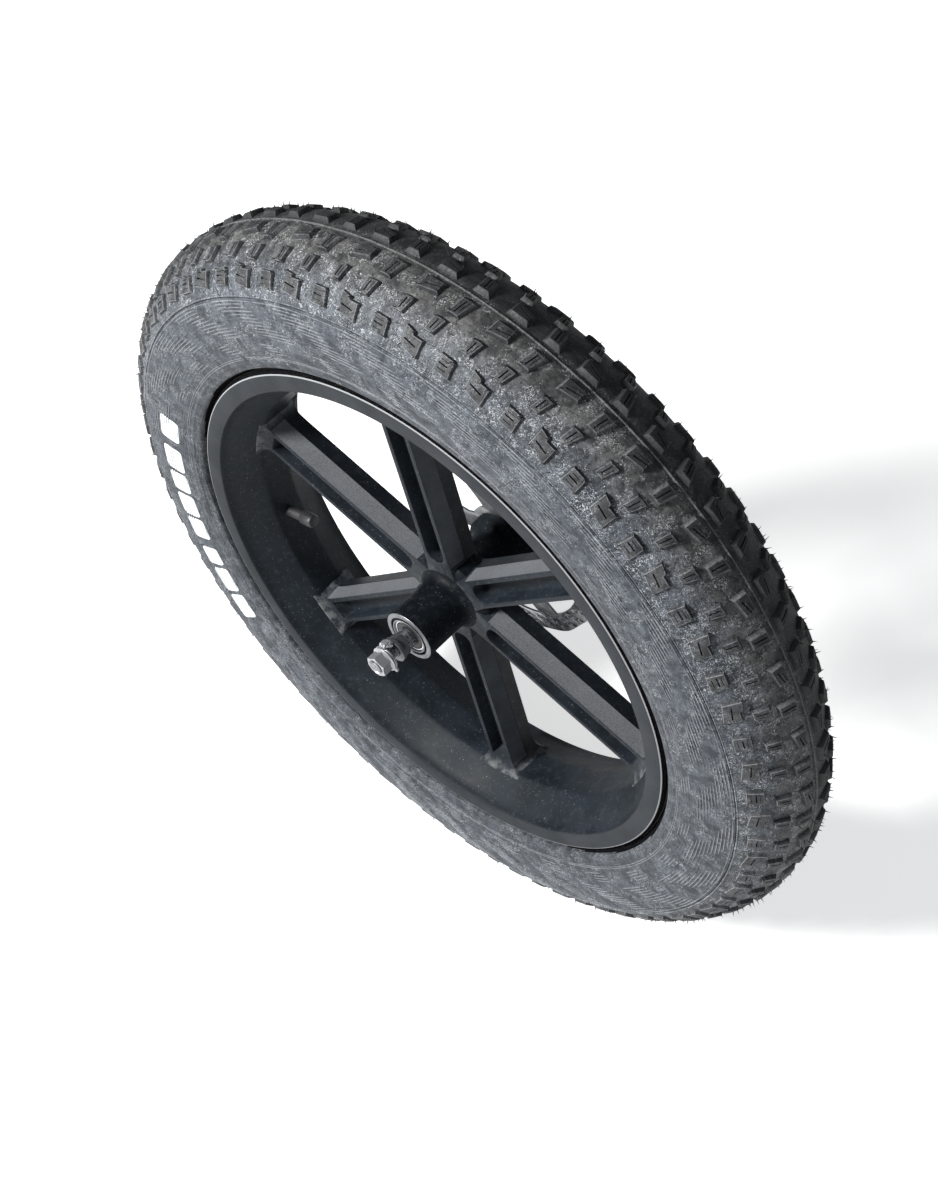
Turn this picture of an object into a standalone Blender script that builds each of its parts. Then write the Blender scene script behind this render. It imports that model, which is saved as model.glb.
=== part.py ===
"""A 20 x 4.0 fat bicycle tire on its cast wheel, with the tube, valve, bearings, brake disc and
axle hardware.

Metres, +Z up. The wheel's centre is the origin and the axle lies along Y: -Y is the plain side,
+Y the brake side, +X is forward. Object names ending in _left are on the -Y side, _right on +Y.
Dimensions are in millimetres and are scaled by MM where geometry is made.
"""

import math

import bmesh
import bpy
from mathutils import Matrix, Vector

MM = 0.001
GAP = 0.3                    # room left between neighbouring pieces

# ---- facets round the turned pieces
RING_STEPS = 36              # the same for every large ring, so that nested rings keep their gaps
HUB_STEPS = 24
SMALL_STEPS = 16             # bearing races and seals, sleeves, valve stem and cap
FINE_STEPS = 12              # bolts, their threads and the valve core

# ---- tire
TIRE_RADIUS = 297.6          # over the crown knobs
CASING_CROWN = 291.0         # outside of the casing under the tread
CASING_INNER_CROWN = 285.8
CASING_HALF_WIDTH = 46.4
TREAD_GAP = 0.4              # between the casing and the tread band
TREAD_BASE = 2.4             # rubber between that gap and the foot of the crown knobs
KNOB_HEIGHT = TIRE_RADIUS - CASING_CROWN - TREAD_GAP - TREAD_BASE
KNOB_PITCHES = 72
KNOB_INSET = 1.1             # how far a knob's top is drawn in from its foot
KNOB_MIN_RADIUS = 278.1      # leaves out the band's side edges
KNOB_MIN_OUTWARD = 0.3       # least radial part of a knob cell's normal
WIRE_RADIUS = 0.95
WIRE_RING_RADIUS = 206.65
WIRE_Y = 32.25
TUBE_WALL = 1.4

# ---- rim
FLANGE_RADIUS = 210.0        # outside of the rim flange
BEAD_SEAT = 203.2            # 406 mm bead seat
LIP_INNER = 194.3            # inner edge of the lip's flat side face
RIM_HALF_WIDTH = 40.4
WELL_RADIUS = 185.5
BARREL_RADIUS = 180.0
CHAFER_EDGE_Y = 36.1
CHAFER_THICKNESS = 0.8
FLAP_LIFT = 0.5              # between the rim well and the flap
FLAP_THICKNESS = 1.0
FLAP_HALF_WIDTH = 14.5

# ---- spokes
SPOKES = 6
FIRST_SPOKE_DEG = 37.5
SPOKE_NEAR_Y = -10.0
SPOKE_FAR_Y = 16.0
WEB_NEAR_Y = 0.5             # the web joins the two ribs of a spoke
WEB_FAR_Y = 6.5
RIB = 4.4                    # thickness of the two ribs
SPOKE_HALF = 12.6
POCKET_OUTER = 160.0         # radii where the pockets beside the web end
POCKET_INNER = 44.0
POCKET_OVERSHOOT = 4.0       # how far a pocket's cutter passes the spoke's face

# ---- bearings, 10 x 26 x 8
BEARING_OUTER = 13.0
BEARING_WIDTH = 8.0
NEAR_BEARING_Y = -47.4
FAR_BEARING_Y = 49.5
SHOULDER_GAP = 0.4           # between a bearing and the hub's shoulder
BALLS = 7
BALL_RADIUS = 2.38
BALL_CIRCLE = 9.0
RACE_GAP = 0.32
BALL_POCKET_GAP = 0.27
SEAL_INNER = 6.75
SEAL_OUTER = 11.2
SEAL_THICKNESS = 0.5
SEAL_INSET = 0.2
CAGE_INNER = 7.9
CAGE_OUTER = 10.1
CAGE_OFFSETS = (0.8, 3.0)    # from the bearing's middle towards the hub's middle

# ---- hub
HUB_RADIUS = 20.0
HUB_NEAR_Y = -52.4
HUB_FAR_Y = 55.0
CHAMFER = 0.8                # on the hub's near end and the axle's ends
BEARING_BORE = BEARING_OUTER + GAP
HUB_BORE = 11.5
ROTOR_BOSS_RADIUS = 17.2
ROTOR_FLANGE_RADIUS = 28.0

# ---- brake disc
ROTOR_FACE_Y = 52.2
ROTOR_RADIUS = 80.0
ROTOR_BORE = 17.6
ROTOR_THICKNESS = 1.8
WINDOW_OUTER = 64.0
WINDOW_INNER = 31.0
BOLTS = 6                    # and as many windows, half a pitch round from them
BOLT_CIRCLE = 22.0
BOLT_HOLE = 2.9
BOLT_SHANK = 2.45
BOLT_END_Y = 45.6
BOLT_HEAD_Y = ROTOR_FACE_Y + ROTOR_THICKNESS + 2 * GAP
THREAD_RADIUS = 2.75
THREAD_Y = (45.2, 60.0)

# ---- axle hardware; distances are from the wheel's middle
AXLE_RADIUS = 4.9            # M10
AXLE_HALF = 86.2
AXLE_BORE = 5.25             # through every piece on the axle
SPACER_RADIUS = 6.6
SLEEVE_RADIUS = 7.4
SLEEVE_END = 58.2
HEX_FLATS = 15.0             # across the flats of locknuts and axle nuts
LOCKNUT_END = 64.2
SEAT_RADIUS = 9.6
SEAT_Y = 67.5                # half of the 135 mm over the dropout seats
DROPOUT = 6.5                # room left for the fork's dropout
WASHER_Y = SEAT_Y + DROPOUT
WASHER_THICKNESS = 1.6
WASHER_RADIUS = 9.8
TAB_DEG = 97.5
TAB_SIZE = (4.0, 5.6, 5.0)
TAB_RADIUS = 10.9            # to the tab's middle
TONGUE_SIZE = (6.0, WASHER_THICKNESS, 5.0)
TONGUE_RADIUS = 9.9
NUT_FOOT = WASHER_Y + WASHER_THICKNESS + GAP
NUT_HEX = (1.2, 9.6)         # these three run outwards from the nut's foot
NUT_FLANGE = (0.0, 2.0)
NUT_BORE = (-5.0, 15.0)
NUT_FLANGE_RADIUS = 10.0

# ---- valve
VALVE_DEG = 187.5
VALVE_START = 200.0          # wheel radius where valve heights are 0
VALVE_HOLE = 4.5
SPRING_RADIUS = 0.92
SPRING_WIRE = 0.13
SPRING_FOOT = 35.5
SPRING_LENGTH = 7.5
SPRING_TURNS = 5
POINTS_A_TURN = 8

# sides: name ending, sign of Y, middle of the bearing
SIDES = (("left", -1, NEAR_BEARING_Y), ("right", 1, FAR_BEARING_Y))

for old in list(bpy.data.objects):
    bpy.data.objects.remove(old, do_unlink=True)

parts = bpy.data.collections.new("bicycle_tire")
helpers = bpy.data.collections.new("cutters")
helpers.hide_render = True
for collection in (parts, helpers):
    bpy.context.scene.collection.children.link(collection)

# local +Z of a turned piece is laid along the world's +Y
ALONG_AXLE = Matrix.Rotation(-math.pi / 2, 4, "X")


# ---- materials
def material(name, colour, roughness, metallic=0.0):
    made = bpy.data.materials.new(name)
    made.use_nodes = True
    shader = made.node_tree.nodes["Principled BSDF"]
    shader.inputs["Base Color"].default_value = (*colour, 1)
    shader.inputs["Roughness"].default_value = roughness
    shader.inputs["Metallic"].default_value = metallic
    return made


RUBBER = material("dusty_rubber", colour=(0.055, 0.058, 0.064), roughness=0.85)
TREAD = material("tread_rubber", colour=(0.04, 0.042, 0.046), roughness=0.88)
BUTYL = material("butyl_rubber", colour=(0.02, 0.02, 0.022), roughness=0.6)
FABRIC = material("chafer_fabric", colour=(0.05, 0.045, 0.04), roughness=0.95)
WIRE = material("bead_steel", colour=(0.5, 0.45, 0.35), roughness=0.35, metallic=1.0)
CAST = material("cast_wheel_paint", colour=(0.018, 0.019, 0.021), roughness=0.45, metallic=0.2)
ZINC = material("zinc_steel", colour=(0.62, 0.63, 0.65), roughness=0.3, metallic=1.0)
BEARING = material("bearing_steel", colour=(0.7, 0.7, 0.72), roughness=0.18, metallic=1.0)
SEAL = material("seal_rubber", colour=(0.015, 0.015, 0.016), roughness=0.6)
BRASS = material("brass", colour=(0.72, 0.55, 0.25), roughness=0.35, metallic=1.0)
DISC = material("disc_steel", colour=(0.55, 0.56, 0.58), roughness=0.28, metallic=1.0)
NYLON = material("cage_nylon", colour=(0.5, 0.42, 0.28), roughness=0.6)
PLASTIC = material("cap_plastic", colour=(0.02, 0.02, 0.02), roughness=0.5)


# ---- outlines and places
def polar(radius, degrees):
    angle = math.radians(degrees)
    return radius * math.cos(angle), radius * math.sin(angle)


def circle(radius, steps, centre=(0, 0), start_deg=0):
    spokes = [polar(radius, start_deg + 360 * i / steps) for i in range(steps)]
    return [(centre[0] + x, centre[1] + y) for x, y in spokes]


def hexagon(across_flats):
    return circle(across_flats / 2 / math.cos(math.pi / 6), 6, start_deg=30)


def flipped(points):
    """The mirror image across the second coordinate, in reverse order, to close an outline."""
    return [(x, -y) for x, y in reversed(points)]


def shift(x=0, y=0, z=0):
    return Matrix.Translation((x * MM, y * MM, z * MM))


def around_axle(degrees):
    """Turns a piece drawn at world +X about the axle, to an angle counted from +X towards +Z."""
    return Matrix.Rotation(-math.radians(degrees), 4, "Y")


def bolt_place(i):
    return around_axle(360 / BOLTS * i) @ shift(x=BOLT_CIRCLE) @ ALONG_AXLE


def across(sign, start, end):
    """Lowest and highest Y of a piece between two distances from the middle, on one side."""
    return sorted((sign * start, sign * end))


# ---- objects
def place(name, data, look, matrix, parent=None, group=parts):
    """Makes an object, parents it and puts it at a place in the world."""
    obj = bpy.data.objects.new(name, data)
    group.objects.link(obj)
    if look:
        data.materials.append(look)
    if parent:
        obj.parent = parent
        bpy.context.view_layer.update()
    obj.matrix_world = matrix
    return obj


def empty(name, parent=None, matrix=Matrix.Identity(4)):
    obj = place(name, None, None, matrix, parent)
    obj.empty_display_size = 0.02
    return obj


def turned(name, outline, steps, look, matrix=ALONG_AXLE, parent=None, group=parts):
    """outline is (radius, height), down the outer side and up the inner side.

    It is closed unless it starts and ends on the axis.
    """
    on_axis = outline[0][0] == 0 and outline[-1][0] == 0
    count = len(outline)
    edges = [(i, i + 1) for i in range(count - 1)] + ([] if on_axis else [(count - 1, 0)])
    mesh = bpy.data.meshes.new(name)
    mesh.from_pydata([(radius * MM, 0, z * MM) for radius, z in outline], edges, [])
    obj = place(name, mesh, look, matrix, parent, group)
    turn = obj.modifiers.new("turn", "SCREW")
    turn.axis = "Z"
    turn.angle = 2 * math.pi
    turn.steps = turn.render_steps = steps
    turn.use_merge_vertices = True
    turn.merge_threshold = 0.00001
    turn.use_smooth_shade = True
    return obj


def ring(name, inner, outer, low, high, steps, look, parent):
    outline = [(outer, high), (outer, low), (inner, low), (inner, high)]
    return turned(name, outline, steps, look, parent=parent)


def flat(name, loops, low, high, look, matrix=ALONG_AXLE, parent=None, group=parts):
    """Closed outlines, the first the outside and the others holes, extruded from low to high."""
    curve = bpy.data.curves.new(name, "CURVE")
    curve.dimensions = "2D"
    curve.fill_mode = "BOTH"
    curve.extrude = (high - low) / 2 * MM
    for loop in loops:
        spline = curve.splines.new("POLY")
        spline.points.add(len(loop) - 1)
        for point, (x, y) in zip(spline.points, loop):
            point.co = (x * MM, y * MM, 0, 1)
        spline.use_cyclic_u = True
    return place(name, curve, look, matrix @ shift(z=(high + low) / 2), parent, group)


def as_mesh(obj):
    """The evaluated shape as a plain mesh object in the same place, its loose caps welded."""
    bpy.context.view_layer.update()
    graph = bpy.context.evaluated_depsgraph_get()
    mesh = bpy.data.meshes.new_from_object(obj.evaluated_get(graph))
    grid = bmesh.new()
    grid.from_mesh(mesh)
    bmesh.ops.remove_doubles(grid, verts=grid.verts, dist=1e-6)
    bmesh.ops.recalc_face_normals(grid, faces=grid.faces)
    grid.to_mesh(mesh)
    grid.free()
    name, matrix, parent = obj.name, obj.matrix_world.copy(), obj.parent
    group = obj.users_collection[0]
    bpy.data.objects.remove(obj, do_unlink=True)
    mesh.name = name
    return place(name, mesh, None, matrix, parent, group)


def boolean(target, tool, operation):
    step = target.modifiers.new(operation.lower() + "_" + tool.name, "BOOLEAN")
    step.operation = operation
    step.object = tool
    step.solver = "EXACT"
    tool.hide_render = True
    tool.display_type = "WIRE"


def primitive(name, create, **settings):
    """A mesh made by one of bmesh's create operators."""
    mesh = bpy.data.meshes.new(name)
    shape = bmesh.new()
    create(shape, **settings)
    shape.to_mesh(mesh)
    shape.free()
    return mesh


def cylinder(name, radius, low, high, steps, matrix):
    mesh = primitive(
        name, bmesh.ops.create_cone, cap_ends=True, segments=steps,
        radius1=radius * MM, radius2=radius * MM, depth=(high - low) * MM,
        matrix=shift(z=(high + low) / 2),
    )
    return place(name, mesh, None, matrix, group=helpers)


def block(name, size, centre, matrix):
    stretch = Matrix.Diagonal([side * MM for side in size]).to_4x4()
    mesh = primitive(name, bmesh.ops.create_cube, size=1, matrix=shift(*centre) @ stretch)
    return place(name, mesh, None, matrix, group=helpers)


# ---- tire; section tables are (radius, y) on the +Y side
# outside of the casing, from the bead up to the crown
CASING_OUTSIDE = [
    (210.6, 36.0), (213, 41.2), (230, 45.2), (243, CASING_HALF_WIDTH), (256, 45.2),
    (272.4, 36.8), (287.5, 18), (CASING_CROWN, 0),
]
# inside of the casing, from beside the crown down and round the bead with its wire groove
CASING_INSIDE = [
    (283.6, 15), (270.2, 32.5), (255.5, 41.0), (238, 42.4), (217, 36.6),
    (212.2, 29.3), (207.9, 29.3), (207.9, 33.6), (205.4, 33.6), (205.4, 29.3),
    (204.6, 29.3), (204.6, 35.0), (210.2, 35.0),
]
# the casing's surface under the tread, from the crown outwards
TREAD_FOOTING = [(CASING_CROWN, 0), (287.5, 18), (272.88, 36.2)]
# outside of the tread band, from its edge up to the crown; the knobs' rows meet at its points
BAND_OUTSIDE = [
    (274.9, 38.2), (285.8, 25.8), (292.2, 13.2), (CASING_CROWN + TREAD_GAP + TREAD_BASE, 0),
]
TUBE_HALF = [(188.6, 16.0), (208.4, 25.6), (219.5, 34), (246, 40.4), (267.0, 32.5), (281.4, 15)]


def build_casing(parent):
    """One C-shaped section, with a thick bead on each side."""
    far_foot = flipped(CASING_INSIDE + CASING_OUTSIDE[:-1])
    section = CASING_OUTSIDE + far_foot + [(CASING_INNER_CROWN, 0)] + CASING_INSIDE
    turned("tire_casing", section, RING_STEPS, RUBBER, parent=parent)


def build_bead(side, sign, parent):
    """The bead's wire and the fabric chafer that the bead wears against the rim."""
    wire = circle(WIRE_RADIUS, 6, centre=(WIRE_RING_RADIUS, sign * WIRE_Y))
    wire = wire[:1] + wire[:0:-1]
    turned(f"bead_wire_{side}", wire, RING_STEPS, WIRE, parent=parent)

    seat = BEAD_SEAT + GAP
    inner_y = CHAFER_EDGE_Y - CHAFER_THICKNESS
    strip = [
        (209.8, CHAFER_EDGE_Y), (seat, CHAFER_EDGE_Y), (seat, 29.0),
        (seat + CHAFER_THICKNESS, 29.0), (seat + CHAFER_THICKNESS, inner_y), (209.8, inner_y),
    ]
    if sign > 0:
        strip = strip[::-1]
    outline = [(radius, sign * y) for radius, y in strip]
    turned(f"bead_chafer_{side}", outline, RING_STEPS, FABRIC, parent=parent)


def lifted(half, by):
    """The half section, listed from the crown, moved outwards along its own normals."""
    (last_radius, last_y), (prior_radius, prior_y) = half[-1], half[-2]
    beyond = (2 * last_radius - prior_radius, 2 * last_y - prior_y)
    padded = flipped(half[1:2]) + half + [beyond]
    found = []
    for before, (radius, y), after in zip(padded, half, padded[2:]):
        along = Vector((after[0] - before[0], after[1] - before[1])).normalized()
        found.append((radius + along.y * by, y - along.x * by))
    return found


def is_knob(face):
    """Whether a face is one of the alternate outside cells; the mesh's own Z is the axle."""
    x, y, z = face.calc_center_median()
    radius = math.hypot(x, y)
    outward = face.normal.dot(Vector((x, y, 0)) / radius)
    if outward < KNOB_MIN_OUTWARD or radius < KNOB_MIN_RADIUS * MM:
        return False
    column = int(math.degrees(math.atan2(y, x)) % 360 / (180 / KNOB_PITCHES))
    row = sum(abs(z) > edge * MM for _, edge in BAND_OUTSIDE[1:3])
    return (column + row) % 2 == 0


def build_tread(parent):
    """A band over the crown, its knobs raised from alternate cells of the band's own grid."""
    under = lifted(TREAD_FOOTING, TREAD_GAP)
    band = BAND_OUTSIDE + flipped(BAND_OUTSIDE[:-1]) + flipped(under) + under[1:]
    tread = as_mesh(turned("tread_band", band, 2 * KNOB_PITCHES, TREAD, parent=parent))
    grid = bmesh.new()
    grid.from_mesh(tread.data)
    bmesh.ops.inset_individual(
        grid, faces=[face for face in grid.faces if is_knob(face)],
        thickness=KNOB_INSET * MM, depth=KNOB_HEIGHT * MM, use_even_offset=True,
    )
    grid.to_mesh(tread.data)
    grid.free()


def build_tube(parent):
    """A hollow ring."""
    tube = turned("inner_tube", TUBE_HALF + flipped(TUBE_HALF), RING_STEPS, BUTYL, parent=parent)
    wall = tube.modifiers.new("wall", "SOLIDIFY")
    wall.thickness = TUBE_WALL * MM
    wall.offset = -1
    return tube


def build_flap(parent):
    inner = WELL_RADIUS + FLAP_LIFT
    return ring(
        "rim_flap", inner, inner + FLAP_THICKNESS, -FLAP_HALF_WIDTH, FLAP_HALF_WIDTH,
        RING_STEPS, FABRIC, parent,
    )


# ---- cast wheel: rim, H-section spokes and hub barrel in one casting
# (radius, y) on the +Y side: the lip, over the flange, down the bead seat into the well
RIM_OUTSIDE = [
    (LIP_INNER, RIM_HALF_WIDTH), (209.0, RIM_HALF_WIDTH), (FLANGE_RADIUS, 39.4),
    (FLANGE_RADIUS, 37.2), (208.8, 36.5),
    (BEAD_SEAT, 36.4), (202.3, 28.9), (197.0, 25.0), (WELL_RADIUS, 19.5),
]
# (radius, y) of the rim's side towards the hub, from its middle outwards
RIM_BARREL = [(BARREL_RADIUS, 12.0), (192.6, 34.5)]
NEAR_SHOULDER_Y = NEAR_BEARING_Y + BEARING_WIDTH / 2 + SHOULDER_GAP
FAR_SHOULDER_Y = FAR_BEARING_Y - BEARING_WIDTH / 2 - SHOULDER_GAP
# (radius, y), down the hub's outside from the brake side and back through its bore
HUB_OUTLINE = [
    (ROTOR_BOSS_RADIUS, HUB_FAR_Y), (ROTOR_BOSS_RADIUS, ROTOR_FACE_Y),
    (ROTOR_FLANGE_RADIUS, ROTOR_FACE_Y), (ROTOR_FLANGE_RADIUS, 44.4),
    (21.6, 40.0), (21.0, 24.0), (33.0, 13.0), (33.0, -5.0), (23.0, -13.0), (HUB_RADIUS, -21.0),
    (HUB_RADIUS, HUB_NEAR_Y + CHAMFER), (HUB_RADIUS - CHAMFER, HUB_NEAR_Y),
    (BEARING_BORE, HUB_NEAR_Y), (BEARING_BORE, NEAR_SHOULDER_Y),
    (HUB_BORE, NEAR_SHOULDER_Y), (HUB_BORE, FAR_SHOULDER_Y),
    (BEARING_BORE, FAR_SHOULDER_Y), (BEARING_BORE, HUB_FAR_Y),
]
# (radial, tangential) half outline of a spoke, from the rim to the hub
SPOKE_OUTLINE = [
    (182.6, 0), (181.8, 16), (180.6, 27), (176.5, 24), (166, 15.2),
    (154, SPOKE_HALF), (48, SPOKE_HALF), (36, 15), (24, 12),
]
POCKET_HALF = SPOKE_HALF - RIB
# (radial, tangential) half outline of the pockets on both faces of a spoke
POCKET_OUTLINE = [
    (POCKET_OUTER + 8, POCKET_HALF + 3), (POCKET_OUTER - 8, POCKET_HALF),
    (POCKET_INNER + 4, POCKET_HALF), (POCKET_INNER, POCKET_HALF - 3),
]
# face, lowest and highest Y of its pocket's cutter
POCKET_SPANS = (
    ("near", SPOKE_NEAR_Y - POCKET_OVERSHOOT, WEB_NEAR_Y),
    ("far", WEB_FAR_Y, SPOKE_FAR_Y + POCKET_OVERSHOOT),
)


def helper_plate(name, outline, low, high, matrix):
    return as_mesh(flat(name, [outline], low, high, None, matrix=matrix, group=helpers))


def build_spoke(number, degrees):
    at = around_axle(degrees) @ ALONG_AXLE
    outline = SPOKE_OUTLINE + flipped(SPOKE_OUTLINE[1:])
    ribs = helper_plate(f"spoke_ribs_{number}", outline, SPOKE_NEAR_Y, SPOKE_FAR_Y, at)
    pocket = POCKET_OUTLINE + flipped(POCKET_OUTLINE)
    for face, low, high in POCKET_SPANS:
        cutter = helper_plate(f"spoke_pocket_{face}_{number}", pocket, low, high, at)
        boolean(ribs, cutter, "DIFFERENCE")
    return ribs


def build_cast_wheel(parent):
    outline = RIM_OUTSIDE + flipped(RIM_OUTSIDE) + flipped(RIM_BARREL) + RIM_BARREL
    wheel = turned("cast_wheel", outline, RING_STEPS, CAST, parent=parent)
    hub = turned("hub_barrel", HUB_OUTLINE, HUB_STEPS, None, group=helpers)
    for i in range(SPOKES):
        boolean(wheel, build_spoke(i + 1, FIRST_SPOKE_DEG + 360 / SPOKES * i), "UNION")
    boolean(wheel, hub, "UNION")
    for i in range(BOLTS):
        name = f"rotor_thread_{i + 1}"
        thread = cylinder(name, THREAD_RADIUS, *THREAD_Y, FINE_STEPS, bolt_place(i))
        boolean(wheel, thread, "DIFFERENCE")
    return wheel


# ---- valve; outlines are (radius, height), heights running from VALVE_START towards the hub
STEM = [
    (2.7, 46), (3.8, 46), (3.8, 36.5), (4.1, 35.8), (4.1, 9.4), (9.0, 9.4), (9.0, 8.2), (2.7, 7.8),
]
CORE_BODY = [(2.4, 44.6), (2.4, 34.0), (1.3, 34.0), (1.3, 44.6)]
PIN = [
    (0, 45.4), (0.85, 45.4), (0.85, 44.9), (0.5, 44.7),
    (0.5, 33.4), (2.0, 33.0), (2.0, 31.4), (0, 31.4),
]
CAP = [(0, 49), (4.6, 49), (5.4, 48.2), (5.4, 37), (4.25, 37), (4.25, 46.8), (0, 46.8)]


def build_spring(matrix, parent):
    coil = bpy.data.curves.new("valve_spring", "CURVE")
    coil.dimensions = "3D"
    coil.bevel_depth = SPRING_WIRE * MM
    coil.bevel_resolution = 1
    coil.use_fill_caps = True
    path = coil.splines.new("POLY")
    count = SPRING_TURNS * POINTS_A_TURN
    path.points.add(count)
    for i, point in enumerate(path.points):
        x, y = polar(SPRING_RADIUS, 360 * i / POINTS_A_TURN)
        z = SPRING_FOOT + SPRING_LENGTH * i / count
        point.co = (x * MM, y * MM, z * MM, 1)
    place("valve_spring", coil, ZINC, matrix, parent)


def build_valve(tube, flap, wheel, parent):
    x, z = polar(1, VALVE_DEG)
    outwards = Vector((x, 0, z))
    aim = (-outwards).to_track_quat("Z", "Y").to_matrix().to_4x4()
    at = Matrix.Translation(outwards * VALVE_START * MM) @ aim
    axis = empty("valve_axis", parent, at)
    # each hole's lowest and highest height
    for target, name, low, high in (
        (tube, "tube_hole", 2, 16), (flap, "flap_hole", 8, 18), (wheel, "rim_hole", 8, 30),
    ):
        boolean(target, cylinder(name, VALVE_HOLE, low, high, SMALL_STEPS, at), "DIFFERENCE")
    for name, outline, steps, look in (
        ("valve_stem", STEM, SMALL_STEPS, BUTYL),
        ("valve_core_body", CORE_BODY, FINE_STEPS, BRASS),
        ("valve_pin", PIN, FINE_STEPS, BRASS),
        ("valve_cap", CAP, SMALL_STEPS, PLASTIC),
    ):
        turned(name, outline, steps, look, matrix=at, parent=axis)
    build_spring(at, axis)


# ---- brake disc
# (radius, y) of a bolt, its head's socket first
BOLT_OUTLINE = [
    (0, BOLT_HEAD_Y + 1.0), (1.9, BOLT_HEAD_Y + 1.0), (1.9, BOLT_HEAD_Y + 2.5),
    (3.4, BOLT_HEAD_Y + 2.5), (4.4, BOLT_HEAD_Y + 1.7), (4.4, BOLT_HEAD_Y),
    (BOLT_SHANK, BOLT_HEAD_Y), (BOLT_SHANK, BOLT_END_Y), (0, BOLT_END_Y),
]


def build_rotor(parent):
    """A friction ring on six arms, bolted to the hub's flange."""
    pitch = 360 / BOLTS
    holes = [circle(BOLT_HOLE, 10, polar(BOLT_CIRCLE, pitch * i)) for i in range(BOLTS)]
    windows = []
    for i in range(BOLTS):
        middle = pitch * (i + 0.5)
        windows.append(
            [polar(WINDOW_OUTER, middle + turn) for turn in (-22, -11, 0, 11, 22)]
            + [polar(WINDOW_INNER, middle + turn) for turn in (13, 0, -13)]
        )
    loops = [circle(ROTOR_RADIUS, 48), circle(ROTOR_BORE, 24)] + holes + windows
    low = ROTOR_FACE_Y + GAP
    flat("brake_rotor", loops, low, low + ROTOR_THICKNESS, DISC, parent=parent)
    for i in range(BOLTS):
        turned(
            f"rotor_bolt_{i + 1}", BOLT_OUTLINE, FINE_STEPS, ZINC,
            matrix=bolt_place(i), parent=parent,
        )


# ---- axle and the pieces on it
def build_axle(parent):
    half = [(0, AXLE_HALF), (AXLE_RADIUS - CHAMFER, AXLE_HALF), (AXLE_RADIUS, AXLE_HALF - CHAMFER)]
    turned("axle", half + flipped(half), HUB_STEPS, ZINC, parent=parent)
    reach = BEARING_WIDTH / 2 + GAP
    ring(
        "bearing_spacer", AXLE_BORE, SPACER_RADIUS, NEAR_BEARING_Y + reach, FAR_BEARING_Y - reach,
        SMALL_STEPS, ZINC, parent,
    )


def build_bearing(side, sign, middle, wheel_axis, axle_axis):
    low, high = middle - BEARING_WIDTH / 2, middle + BEARING_WIDTH / 2
    reach = BALL_RADIUS + RACE_GAP
    for name, inner, outer, parent in (
        ("outer", BALL_CIRCLE + reach, BEARING_OUTER, wheel_axis),
        ("inner", AXLE_BORE, BALL_CIRCLE - reach, axle_axis),
    ):
        name = f"bearing_{name}_ring_{side}"
        ring(name, inner, outer, low, high, SMALL_STEPS, BEARING, parent)
    for where, at_low in (("inboard", sign > 0), ("outboard", sign < 0)):
        foot = low + SEAL_INSET if at_low else high - SEAL_INSET - SEAL_THICKNESS
        ring(
            f"bearing_seal_{where}_{side}", SEAL_INNER, SEAL_OUTER, foot, foot + SEAL_THICKNESS,
            SMALL_STEPS, SEAL, wheel_axis,
        )
    orbit = empty(f"bearing_axis_{side}", axle_axis, shift(y=middle))
    lower, upper = sorted(middle - sign * offset for offset in CAGE_OFFSETS)
    name = f"bearing_cage_{side}"
    cage = ring(name, CAGE_INNER, CAGE_OUTER, lower, upper, HUB_STEPS, NYLON, orbit)
    for i in range(BALLS):
        x, z = polar(BALL_CIRCLE, 360 * i / BALLS)
        at = shift(x, middle, z)
        place(*sphere(f"ball_{side}_{i + 1}", BALL_RADIUS), BEARING, at, orbit)
        pocket = sphere(f"ball_pocket_{side}_{i + 1}", BALL_RADIUS + BALL_POCKET_GAP)
        boolean(cage, place(*pocket, None, at, group=helpers), "DIFFERENCE")


def sphere(name, radius):
    """A ball's name and its mesh."""
    mesh = primitive(
        name, bmesh.ops.create_uvsphere, u_segments=8, v_segments=6, radius=radius * MM
    )
    mesh.shade_smooth()
    return name, mesh


def build_stack(side, sign, middle, parent):
    """Outwards from the bearing: sleeve, hexagonal locknut and the dropout's flanged seat."""
    low, high = across(sign, abs(middle) + BEARING_WIDTH / 2 + GAP, SLEEVE_END)
    name = f"axle_sleeve_{side}"
    ring(name, AXLE_BORE, SLEEVE_RADIUS, low, high, SMALL_STEPS, ZINC, parent)
    low, high = across(sign, SLEEVE_END + GAP, LOCKNUT_END)
    loops = [hexagon(HEX_FLATS), circle(AXLE_BORE, HUB_STEPS)]
    flat(f"axle_locknut_{side}", loops, low, high, ZINC, parent=parent)
    low, high = across(sign, LOCKNUT_END + GAP, SEAT_Y)
    name = f"dropout_seat_{side}"
    ring(name, AXLE_BORE, SEAT_RADIUS, low, high, HUB_STEPS, ZINC, parent)


def build_washer(side, sign, parent):
    """Safety washer outside the dropout, its tab reaching back towards the wheel."""
    outer_face = WASHER_Y + WASHER_THICKNESS
    low, high = across(sign, WASHER_Y, outer_face)
    name = f"tab_washer_{side}"
    washer = ring(name, AXLE_BORE, WASHER_RADIUS, low, high, HUB_STEPS, ZINC, parent)
    for name, size, radius in (
        ("tongue", TONGUE_SIZE, TONGUE_RADIUS), ("tab", TAB_SIZE, TAB_RADIUS),
    ):
        centre = (radius, sign * (outer_face - size[1] / 2), 0)
        tool = block(f"washer_{name}_{side}", size, centre, around_axle(TAB_DEG))
        boolean(washer, tool, "UNION")


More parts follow.
